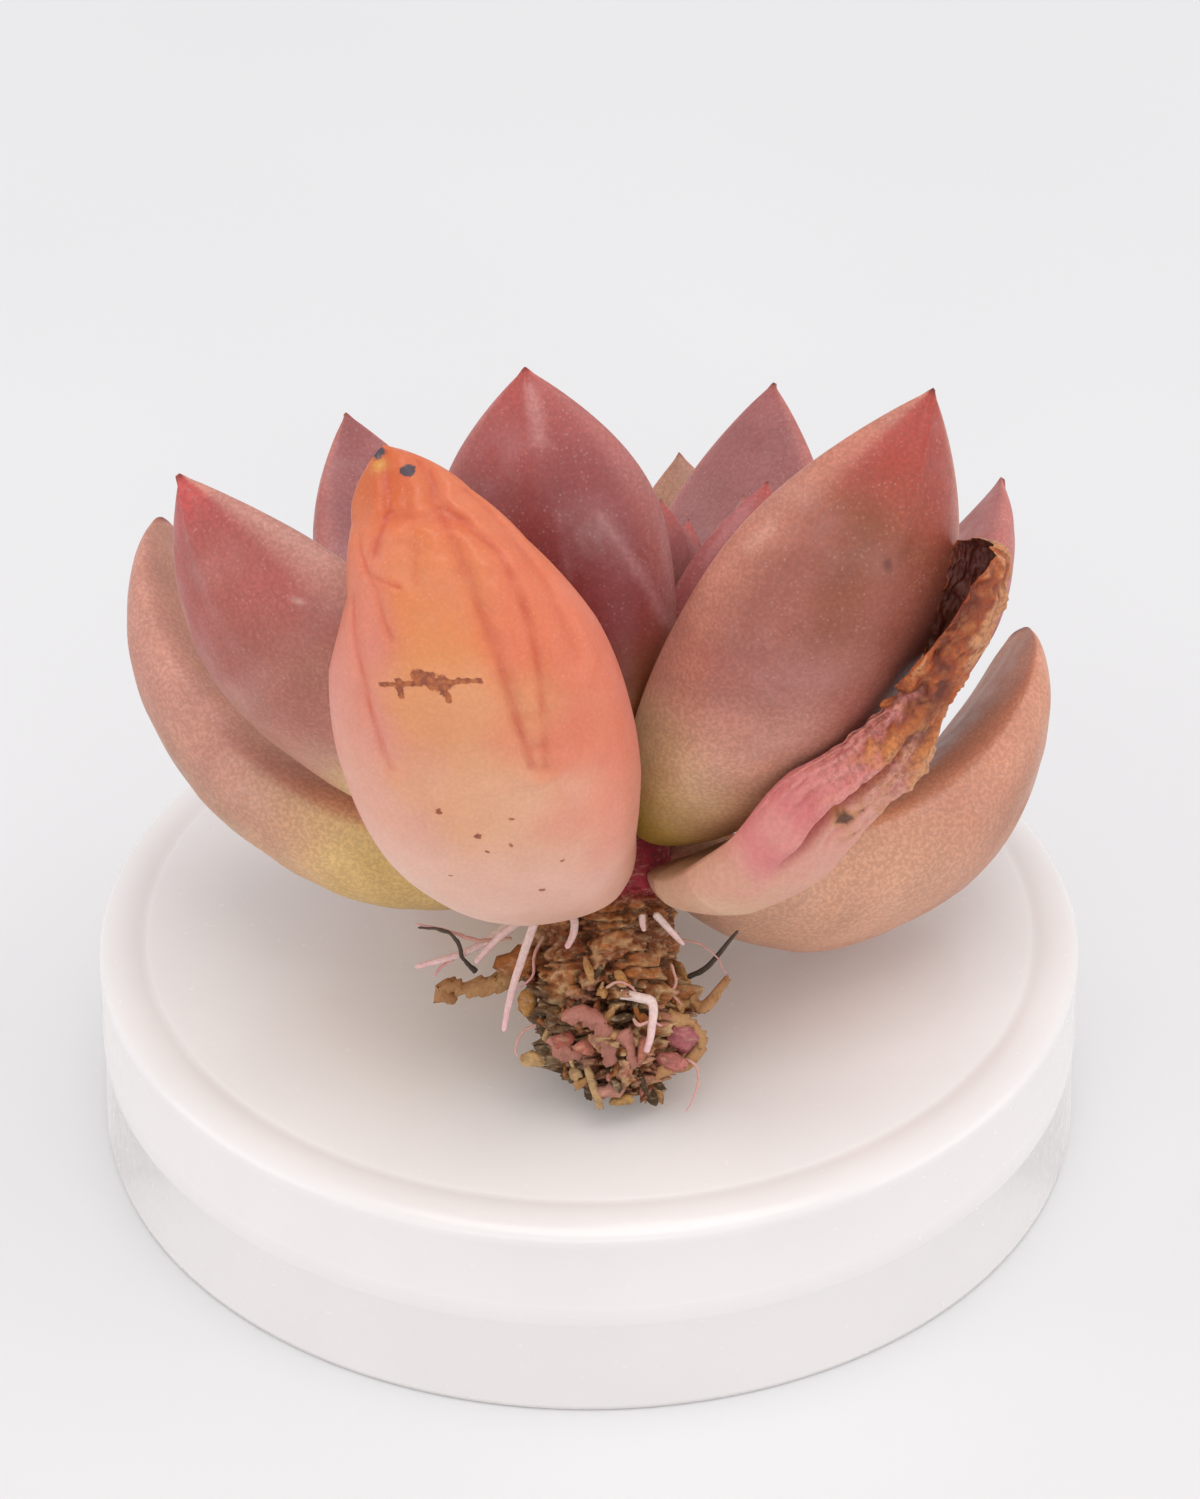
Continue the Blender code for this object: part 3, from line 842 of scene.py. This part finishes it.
# The stump: a corky root crown, cracked across, with what is left of its roots
stump = {
    # x, y, z and radius in the plant's frame
    "sections": [
        (-0.2, -2.1, -0.1, 1.0),
        (-0.2, -2.0, 0.5, 2.2),
        (-0.2, -1.8, 1.3, 3.1),
        (-0.3, -1.6, 2.4, 3.8),
        (-0.2, -1.4, 3.6, 4.2),
        (-0.4, -1.1, 5.0, 4.3),
        (-0.9, -0.8, 6.4, 4.6),
        (-1.2, -0.5, 7.6, 4.6),
        (-1.1, -0.4, 9.0, 4.3),
        (-0.9, -0.2, 10.4, 4.1),
        (-0.7, 0.0, 11.6, 3.6),
        (-0.1, 0.0, 12.6, 3.1),
        (0.0, 0.0, 13.4, 3.0),
        (0.0, 0.0, 18.0, 2.6),
        (0.0, 0.0, 28.0, 1.3),
    ],
    "around": 220,
    "rings": 300,
    "clearOfCap": 0.02,
}


def aboveCap(rows, clearance):  # rows in metres, none lower than this many mm above the cap's face
    rows[:, 2] = np.maximum(rows[:, 2], capHigh.z + clearance * millimetre)
    return rows


def makeCork():
    shade = Shade("corkyStem", 0.8, 0.35)
    bark = shade.attribute("bark", "Color")
    fine = shade.noise(2600, 4, 0.65)
    colour = shade.mix(shade.span(fine, 0.35, 0.6, 0.5, 0.0), bark, (0.07, 0.028, 0.012))
    fibre = shade.noise(1500, 3, 0.6, place=shade.stretched((1, 1, 3.5)))
    colour = shade.mix(shade.span(fibre, 0.52, 0.72, 0.0, 0.5), colour, (0.62, 0.42, 0.26))
    normal = shade.bump(fine, 0.7, 0.00015)
    return shade.finish(colour, shade.span(fine, 0.3, 0.7, 0.6, 0.9), normal)


def travelAlong(points):  # the way gone at each point, from the first one on
    return np.concatenate([[0], np.cumsum(np.linalg.norm(np.diff(points, axis=0), axis=1))])


def makeStump():
    piece, sphere = addSphere("stem_bark", stump["around"], stump["rings"])
    t = np.arccos(np.clip(sphere[:, 2], -1, 1)) / math.pi
    angle = np.arctan2(sphere[:, 1], sphere[:, 0])
    sections = np.array(stump["sections"])
    travel = travelAlong(sections[:, :3])
    travel /= travel[-1]
    place = t**1.25
    centre = follow(travel, sections[:, :3], place)
    radius = np.interp(place, travel, sections[:, 3])
    topClosing = np.sqrt(np.clip(1 - (np.clip((place - 0.985) / 0.015, 0, 1)) ** 2, 0, 1))
    closing = topClosing * np.sqrt(np.clip(place / 0.01, 0, 1))
    out = np.stack([np.cos(angle), np.sin(angle), np.zeros_like(angle)], axis=-1)
    rows = centre + out * (radius * closing)[:, None]
    rough = 1 - ease(rows[:, 2], 11.3, 12.8)
    low = 1 - ease(rows[:, 2], 5.5, 8.5)
    lumps = fractal(rows * [1, 1, 1.1], 0.42, 1, 5)
    knots = fractal(rows, 0.85, 12, 4)
    cracks = np.abs(fractal(rows * [0.6, 0.6, 1.5], 0.55, 2, 5))
    grit = fractal(rows, 2.2, 3, 4)
    swellOut = (0.6 + 0.6 * low) * lumps + (0.35 + 0.75 * low) * knots
    swellOut += 0.24 * grit - (0.45 + 0.5 * low) * ease(0.16 - cracks, 0, 0.16)
    rows += out * (rough * swellOut * closing)[:, None]
    setPoints(piece, aboveCap(toPlant(rows), stump["clearOfCap"]))
    height = rows[:, 2]
    amber, tan, brown, dark, pink, rose, umber = paints(
        "b4703c", "d2ac7c", "8a4a26", "32281a", "b43848", "c07868", "5c2410"
    )
    colour = blendPaint(brown, amber, ease(lumps + 0.3 * knots, -0.35, 0.25))
    colour = blendPaint(colour, tan, ease(grit + 0.7 * knots + 0.45 * low, 0.12, 0.7) * (0.55 + 0.4 * low))
    colour = blendPaint(colour, rose, ease(knots - 0.6 * lumps, 0.15, 0.45) * low * 0.7)
    colour = blendPaint(colour, dark, ease(0.14 - cracks, 0, 0.14) * 0.75)
    colour = blendPaint(colour, umber, ease(height, 8.6, 11.0) * ease(-lumps, -0.2, 0.3) * 0.6)
    mould = ease(-rows[:, 0] - 0.9 * height + 1.6 + 1.8 * lumps, 0, 1.8)
    colour = blendPaint(colour, dark, mould * 0.75)
    colour = blendPaint(colour, pink, ease(height, 11.2, 12.4))
    setPaint(piece, "bark", np.clip(colour, 0, 1))
    finishPiece(piece, ["stem"], corkFinish)


# Chips, flakes and cut ends that stand out of the stump, made as rough pebbles
crumbs = {
    "count": 110,
    "leastSize": 0.22,
    "mostSize": 0.75,
    "flatness": 0.35,
    "reach": (0.2, 7.8),
    "clearOfCap": 0.03,
    "colours": ("cca474", "c49058", "a4602c", "8a4a26", "b87464", "c08c50", "4c3a22"),
    # placed one by one: x, y, z in the plant's frame, three half-sizes in mm and a colour
    "placed": [
        (3.6, -4.2, 3.7, 0.75, 0.5, 0.95, "b4646a"),
        (3.0, -4.5, 2.2, 0.9, 0.5, 0.6, "bc7068"),
        (1.3, -5.6, 3.0, 0.35, 0.3, 1.0, "b46c58"),
        (-0.6, -4.3, 0.5, 0.8, 0.45, 0.5, "c48878"),
        (-5.3, -3.0, 2.2, 0.85, 0.4, 0.5, "c8a06c"),
        (-6.0, -2.4, 8.0, 1.3, 0.7, 0.9, "a4622c"),
        (-5.6, -2.6, 5.6, 0.6, 0.5, 0.9, "b88448"),
        (-3.4, -4.9, 3.5, 0.7, 0.5, 0.5, "a85c4c"),
        (-2.3, -5.2, 3.1, 0.7, 0.4, 0.45, "c07460"),
        (0.1, -3.6, -0.1, 0.7, 0.4, 0.35, "c09458"),
    ],
}


def makePebble(place, size, turn, seed):
    deselectAll()
    bpy.ops.mesh.primitive_ico_sphere_add(subdivisions=2, radius=1.0)
    piece = bpy.context.object
    rows = pointsOf(piece)
    rows *= (1 + 0.55 * fractal(rows, 1.3, seed, 4))[:, None]
    rows = rows * size @ np.array(Euler(turn).to_matrix()).T + place
    setPoints(piece, toPlant(rows))
    return piece, rows


def makeCrumbs():
    draw = np.random.RandomState(41)
    sections = np.array(stump["sections"])
    pebbles = []
    lowest, highest = crumbs["reach"]
    for _ in range(crumbs["count"]):
        z = lowest + (highest - lowest) * draw.uniform() ** 1.3
        x, y, radius = (np.interp(z, sections[:, 2], sections[:, i]) for i in (0, 1, 3))
        bearing = draw.uniform(0, 2 * math.pi)
        place = (x + radius * math.cos(bearing), y + radius * math.sin(bearing), z)
        size = draw.uniform(crumbs["leastSize"], crumbs["mostSize"])
        size = size * np.array([draw.uniform(0.9, 2.0), crumbs["flatness"], draw.uniform(0.35, 0.8)])
        turn = draw.uniform(0, 6.28, 3)
        pebbles.append((place, size, turn, crumbs["colours"][draw.randint(len(crumbs["colours"]))]))
    for x, y, z, *size, colour in crumbs["placed"]:
        pebbles.append(((x, y, z), np.array(size), draw.uniform(-0.3, 0.3, 3), colour))
    made = []
    for number, (place, size, turn, colour) in enumerate(pebbles):
        piece, rows = makePebble(np.array(place), size, turn, number)
        shade = 1 + 0.35 * fractal(rows, 2.5, number + 200, 3)
        setPaint(piece, "bark", np.clip(paint(colour) * shade[:, None], 0, 1))
        made.append(piece)
    deselectAll()
    for piece in made:
        piece.select_set(True)
    bpy.context.view_layer.objects.active = made[0]
    bpy.ops.object.join()
    whole = bpy.context.object
    whole.name = whole.data.name = "stump_crumbs"
    setPoints(whole, aboveCap(pointsOf(whole), crumbs["clearOfCap"]))
    finishPiece(whole, [], corkFinish)


print("stump")
corkFinish = makeCork()
makeStump()
makeCrumbs()


# Roots as tapered tubes; each has its radius and points in the plant's frame, as the frame has them
freshRoots = [
    (0.27, (-3.8, -3.6, 11.4), (-4.9, -4.2, 10.8), (-5.6, -4.6, 9.2), (-6.5, -4.9, 6.4), (-7.0, -5.0, 4.0)),
    (0.25, (-4.5, -2.8, 11.4), (-5.6, -3.4, 10.7), (-7.3, -3.8, 9.5), (-8.7, -4.0, 8.0)),
    (0.26, (-5.0, -1.8, 11.4), (-5.8, -2.2, 10.9), (-7.8, -2.6, 9.4), (-9.5, -2.8, 8.5), (-12.3, -3.0, 7.7)),
    (0.26, (-3.0, -4.3, 11.1), (-2.8, -4.7, 10.4), (-2.9, -4.9, 9.7), (-3.3, -5.1, 8.9)),
    (0.20, (1.2, -4.3, 10.9), (1.2, -4.5, 10.5), (1.3, -4.7, 9.9)),
    (0.22, (1.9, -4.0, 11.0), (2.8, -3.8, 10.0), (3.7, -3.1, 9.0)),
    (0.30, (-0.2, -5.6, 6.3), (1.0, -5.7, 6.1), (1.8, -5.7, 5.7), (1.7, -5.9, 4.0), (1.4, -5.8, 2.8)),
]
dryRoots = [
    (0.60, (-6.3, -1.2, 7.2), (-7.5, -1.5, 6.6), (-9.0, -1.8, 6.3), (-10.7, -2.0, 6.4), (-10.1, -2.2, 5.3)),
    (0.40, (4.1, -2.2, 5.9), (4.7, -2.6, 5.3), (5.3, -2.8, 5.7), (6.3, -3.0, 7.1)),
    (0.50, (2.6, -4.4, 4.9), (4.2, -3.8, 4.2), (4.6, -3.6, 3.1), (3.6, -4.0, 1.9), (2.0, -5.0, 1.6)),
]
cutRoots = [
    (0.50, (-3.3, -5.0, 4.8), (-2.3, -5.6, 5.1), (-1.3, -5.9, 4.4), (-0.8, -5.8, 3.2), (-0.8, -5.6, 2.1)),
    (0.48, (-4.2, -4.4, 3.6), (-3.5, -5.0, 2.9), (-2.4, -5.4, 2.6)),
    (0.45, (0.0, -5.7, 4.2), (0.4, -5.5, 3.0), (0.9, -5.3, 2.0)),
]
darkRoots = [
    (0.18, (3.9, -1.8, 7.0), (4.9, -2.0, 7.5), (5.6, -2.0, 8.2), (6.4, -2.0, 9.2), (7.0, -2.0, 9.9)),
    (0.15, (-8.6, -2.8, 7.4), (-9.4, -3.5, 8.2), (-9.7, -3.6, 9.2), (-10.6, -3.4, 9.9), (-12.1, -3.2, 10.1)),
]

# Fine threads and scraps left among the roots
threads = [
    (0.07, (3.4, -2.6, 9.3), (4.7, -2.7, 9.05), (5.6, -2.8, 8.3), (6.0, -2.8, 7.6), (6.3, -2.9, 7.1)),
    (0.08, (3.7, -4.4, 2.4), (4.4, -4.4, 1.9), (4.5, -4.4, 1.0), (4.1, -4.4, -0.2), (3.7, -4.4, -0.8)),
    (0.12, (-6.5, -2.6, 9.4), (-8.6, -3.0, 9.3), (-10.4, -3.2, 9.9), (-12.3, -3.3, 10.3)),
    (0.13, (-8.6, -2.6, 8.9), (-10.6, -2.7, 7.8), (-11.2, -2.8, 7.1)),
    (0.09, (-5.0, -3.8, 4.4), (-5.9, -4.0, 3.9), (-6.3, -4.1, 2.9), (-6.1, -4.1, 2.4)),
    (0.42, (-5.4, -1.2, 10.9), (-6.6, -1.4, 11.2), (-7.8, -1.6, 11.7), (-8.6, -1.8, 12.1)),
    (0.10, (-1.0, -5.4, 6.6), (-0.2, -5.7, 7.0), (0.6, -5.6, 6.6), (1.2, -5.7, 5.8)),
    (0.12, (0.6, -5.6, 4.9), (1.0, -5.9, 4.5), (1.7, -5.8, 4.7), (2.4, -5.6, 4.4)),
    (0.11, (-4.6, -2.6, 9.6), (-5.2, -3.0, 8.4), (-5.3, -3.2, 7.2), (-6.2, -3.2, 6.4)),
    (0.10, (2.9, -3.4, 8.0), (3.2, -3.6, 6.9), (3.0, -3.9, 6.2), (3.6, -3.8, 5.4)),
]


def makeRootFinish(name, pale, deep, roughness, bumpDistance, translucent):
    shade = Shade(name, roughness)
    shade.translucent(translucent, (1.0, 0.5, 0.4), 0.0005)
    along = shade.attribute("along")
    patch = shade.noise(1600, 4, 0.6)
    colour = shade.mix(shade.add(along, shade.span(patch, 0.3, 0.7, -0.25, 0.25)), pale, deep)
    fine = shade.noise(5200, 3)
    colour = shade.mix(shade.span(fine, 0.4, 0.65, 0.25, 0.0), colour, tuple(0.4 * part for part in deep))
    return shade.finish(colour, None, shade.bump(fine, 0.5, bumpDistance))


def makeTube(name, rows, radii, around):
    piece, sphere = addSphere(name, around, len(rows) - 1)
    share = np.arccos(np.clip(sphere[:, 2], -1, 1)) / math.pi
    angle = np.arctan2(sphere[:, 1], sphere[:, 0])
    step = share * (len(rows) - 1)
    stations = np.arange(len(rows))
    heading = np.gradient(rows, axis=0)
    heading /= np.linalg.norm(heading, axis=1, keepdims=True)
    side = np.cross(heading, [0.31, 0.92, 0.24])  # any direction that no root runs in
    side /= np.linalg.norm(side, axis=1, keepdims=True)
    other = np.cross(side, heading)
    radius = np.interp(step, stations, radii) * offPoles(sphere)
    placed = (
        follow(stations, rows, step)
        + follow(stations, side, step) * (radius * np.cos(angle))[:, None]
        + follow(stations, other, step) * (radius * np.sin(angle))[:, None]
    )
    return piece, placed, share


# A smooth curve through the points, as rows about a spacing apart
def smoothPath(points, spacing):
    points = np.array(points, float)
    travel = travelAlong(points)
    steps = max(16, int(travel[-1] / spacing))
    ends = np.vstack([2 * points[0] - points[1], points, 2 * points[-1] - points[-2]])
    where = np.interp(np.linspace(0, travel[-1], steps), travel, np.arange(len(points)))
    index = np.minimum(where.astype(int), len(points) - 2)
    f = (where - index)[:, None]
    a, b, c, d = (ends[index + k] for k in range(4))
    return 0.5 * (2 * b + (c - a) * f + (2 * a - 5 * b + 4 * c - d) * f**2 + (3 * b - a - 3 * c + d) * f**3)


def makeRoot(name, root, node, finish, tipShare, knobbly, seed):
    radius, *points = root
    path = smoothPath(points, 0.12)
    share = np.linspace(0, 1, len(path))
    closing = np.sqrt(np.clip(1 - ((share - 0.97) / 0.03).clip(0, 1) ** 2, 0.02, 1))
    piece, rows, along = makeTube(name, path, radius * (1 - (1 - tipShare) * share**2) * closing, 18)
    rows += knobbly * radius * fractal(rows, 1.6, seed, 3)[:, None] * np.array([1.0, 0.6, 1.0])
    setPoints(piece, toPlant(rows))
    setShare(piece, "along", along)
    finishPiece(piece, [node] if node else [], finish)


print("roots")
freshFinish = makeRootFinish("freshRoot", (0.84, 0.72, 0.65), (0.80, 0.50, 0.50), 0.4, 0.00002, 0.3)
dryFinish = makeRootFinish("dryRoot", (0.50, 0.27, 0.11), (0.42, 0.20, 0.08), 0.8, 0.00010, 0.0)
cutFinish = makeRootFinish("cutRoot", (0.50, 0.20, 0.15), (0.34, 0.13, 0.09), 0.7, 0.00008, 0.0)
threadFinish = makeRootFinish("threads", (0.60, 0.36, 0.26), (0.72, 0.34, 0.34), 0.6, 0.00003, 0.2)
darkFinish = makeRootFinish("darkRoot", (0.045, 0.03, 0.02), (0.10, 0.07, 0.05), 0.8, 0.00003, 0.0)
# Each kind: its name and its piece's ending, its roots, slot and finish, how thick the tip is
# against the base, how knobbly it is, and the first seed
rootKinds = [
    ("fresh_root", "_skin", freshRoots, "fresh_root", freshFinish, 0.6, 0.10, 0),
    ("dry_root", "_bark", dryRoots, "dry_root", dryFinish, 0.5, 0.7, 10),
    ("cut_root", "_bark", cutRoots, "dry_root", cutFinish, 0.8, 0.5, 20),
    ("thread", "", threads, "fresh_root", threadFinish, 0.45, 0.4, 40),
    ("dark_root", "_bark", darkRoots, "dark_root", darkFinish, 0.5, 0.4, 30),
]
for kind, ending, roots, slot, finish, tipShare, knobbly, seed in rootKinds:
    for number, root in enumerate(roots, start=1):
        name = f"{kind}_{number}"
        node = name if ending else None  # a thread takes no node's place
        makeRoot(name + ending, root, node, finish, tipShare, knobbly, seed + number)


# The round cap that the plant leans on: a spun shell with a shallow groove inside its rounded edge
cap = {
    "radius": 31.0,
    "wall": 1.3,
    "footFlare": 0.25,
    "footChamfer": 0.3,
    "shoulderWidth": 2.6,
    "shoulderDrop": 0.9,
    "beadHeight": 7.2,
    "beadProud": 0.12,
    "beadHalfWidth": 0.9,
    "edgeSink": 0.04,
    # the groove inside the rounded edge: how far out from where the edge begins, and how deep
    "groove": [(-0.7, 0.0), (-0.45, 0.10), (-0.2, 0.16), (0.1, 0.12)],
    "steps": 240,
}


def makeFrosted():
    shade = Shade("frostedPlastic", 0.22)
    shade.translucent(0.15, (1.0, 0.94, 0.92), 0.0012)
    # A painted glow: a faint emission that stands in for light passing through the translucent wall
    shade.shader.inputs["Emission Color"].default_value = (1.0, 0.93, 0.90, 1.0)
    shade.shader.inputs["Emission Strength"].default_value = 0.06
    cloud = shade.noise(90, 3, 0.5)
    colour = shade.mix(shade.span(cloud, 0.3, 0.7), (0.76, 0.73, 0.72), (0.79, 0.76, 0.75))
    scuff = shade.noise(1400, 4, 0.7)
    roughness = shade.span(scuff, 0.3, 0.7, 0.16, 0.28)
    return shade.finish(colour, roughness, shade.bump(scuff, 0.12, 0.00002))


def arcPoints(middle, reach, turns):  # reach along and upwards, at each turn in degrees
    angles = [math.radians(turn) for turn in turns]
    return [(middle[0] + reach[0] * math.sin(a), middle[1] + reach[1] * math.cos(a)) for a in angles]


def capOutline():  # (distance from the axis, height) in mm, from the middle of the top round to inside
    top = capHigh.z / millimetre
    radius, wall, drop = cap["radius"], cap["wall"], cap["shoulderDrop"]
    shoulder = radius - cap["shoulderWidth"]
    foot = radius + cap["footFlare"]
    edge = (shoulder, top - drop - cap["edgeSink"])
    bead = (radius, cap["beadHeight"])
    return [
        (0.0, top),
        (shoulder * 0.5, top),
        *[(shoulder + away, top - down) for away, down in cap["groove"]],
        *arcPoints(edge, (cap["shoulderWidth"], drop), range(15, 91, 15)),
        (radius, top - drop - 0.5),
        *arcPoints(bead, (cap["beadProud"], cap["beadHalfWidth"]), range(0, 181, 30)),
        (foot, cap["footChamfer"] + 0.2),
        (foot - 0.08, 0.12),
        (foot - cap["footChamfer"], 0.0),
        (radius - wall, 0.0),
        (radius - wall, top - drop - wall - 0.6),
        (shoulder - 0.4, top - wall),
        (0.0, top - wall),
    ]


def makeCap():
    deselectAll()
    bpy.ops.mesh.primitive_plane_add(size=millimetre)
    piece = bpy.context.object
    piece.name = piece.data.name = "cap_shell"
    outline = [(r * millimetre, z * millimetre) for r, z in capOutline()]
    bpy.ops.object.mode_set(mode="EDIT")
    bpy.ops.mesh.select_all(action="SELECT")
    bpy.ops.mesh.merge(type="CENTER")
    bpy.ops.transform.translate(value=(outline[0][0], 0, outline[0][1]))
    for (r0, z0), (r1, z1) in zip(outline, outline[1:]):
        bpy.ops.mesh.extrude_region_move(TRANSFORM_OT_translate={"value": (r1 - r0, 0, z1 - z0)})
    bpy.ops.mesh.select_all(action="SELECT")
    bpy.ops.mesh.spin(steps=cap["steps"], angle=2 * math.pi, center=(0, 0, 0), axis=(0, 0, 1))
    bpy.ops.mesh.select_all(action="SELECT")
    bpy.ops.mesh.remove_doubles(threshold=0.000004)
    bpy.ops.mesh.normals_make_consistent(inside=False)
    bpy.ops.object.mode_set(mode="OBJECT")
    finishPiece(piece, ["cap_stand"], makeFrosted())


print("cap")
makeCap()


print("studio")
studio = {
    "floorSize": 4.0,
    "worldStrength": 0.72,
    # each softbox: name, place, size and power
    "softboxes": [
        ("topSoftbox", (0.05, -0.10, 0.75), 0.6, 2.3),
        ("frontSoftbox", (-0.10, -0.85, 0.16), 0.8, 1.5),
        ("leftSoftbox", (-0.75, -0.15, 0.18), 0.6, 1.2),
        ("rightSoftbox", (0.75, -0.10, 0.18), 0.6, 1.2),
    ],
    "worldColour": (0.98, 0.975, 0.98, 1.0),
    "lampsAimAt": (0, 0, 0.02),
    "sensorWidth": 36,
    "lens": 108.07,
    "cameraPlace": (0.0007, -0.2311, 0.1820),
    "cameraDown": 33.95,
}


def makeStudio():
    deselectAll()
    bpy.ops.mesh.primitive_plane_add(size=studio["floorSize"], location=(0, 0, capLow.z))
    floor = bpy.context.object
    floor.name = "floor"
    shade = Shade("floorPaper", 0.75, 0.2)
    colour = shade.mix(shade.span(shade.noise(14, 2), 0.3, 0.7), (0.76, 0.755, 0.765), (0.78, 0.775, 0.785))
    floor.data.materials.append(shade.finish(colour))
    world = bpy.data.worlds.new("studio")
    bpy.context.scene.world = world
    world.use_nodes = True
    backdrop = world.node_tree.nodes["Background"]
    backdrop.inputs["Color"].default_value = studio["worldColour"]
    backdrop.inputs["Strength"].default_value = studio["worldStrength"]
    for name, place, size, power in studio["softboxes"]:
        bpy.ops.object.light_add(type="AREA", location=place)
        lamp = bpy.context.object
        lamp.name = name
        lamp.data.size = size
        lamp.data.energy = power
        aim = Vector(studio["lampsAimAt"]) - Vector(place)
        lamp.rotation_euler = aim.to_track_quat("-Z", "Y").to_euler()
    bpy.ops.object.camera_add(
        location=studio["cameraPlace"], rotation=(math.radians(90 - studio["cameraDown"]), 0, 0)
    )
    camera = bpy.context.object
    camera.data.lens = studio["lens"]
    camera.data.sensor_width = studio["sensorWidth"]
    bpy.context.scene.camera = camera
    bpy.context.scene.view_settings.view_transform = "Standard"


makeStudio()
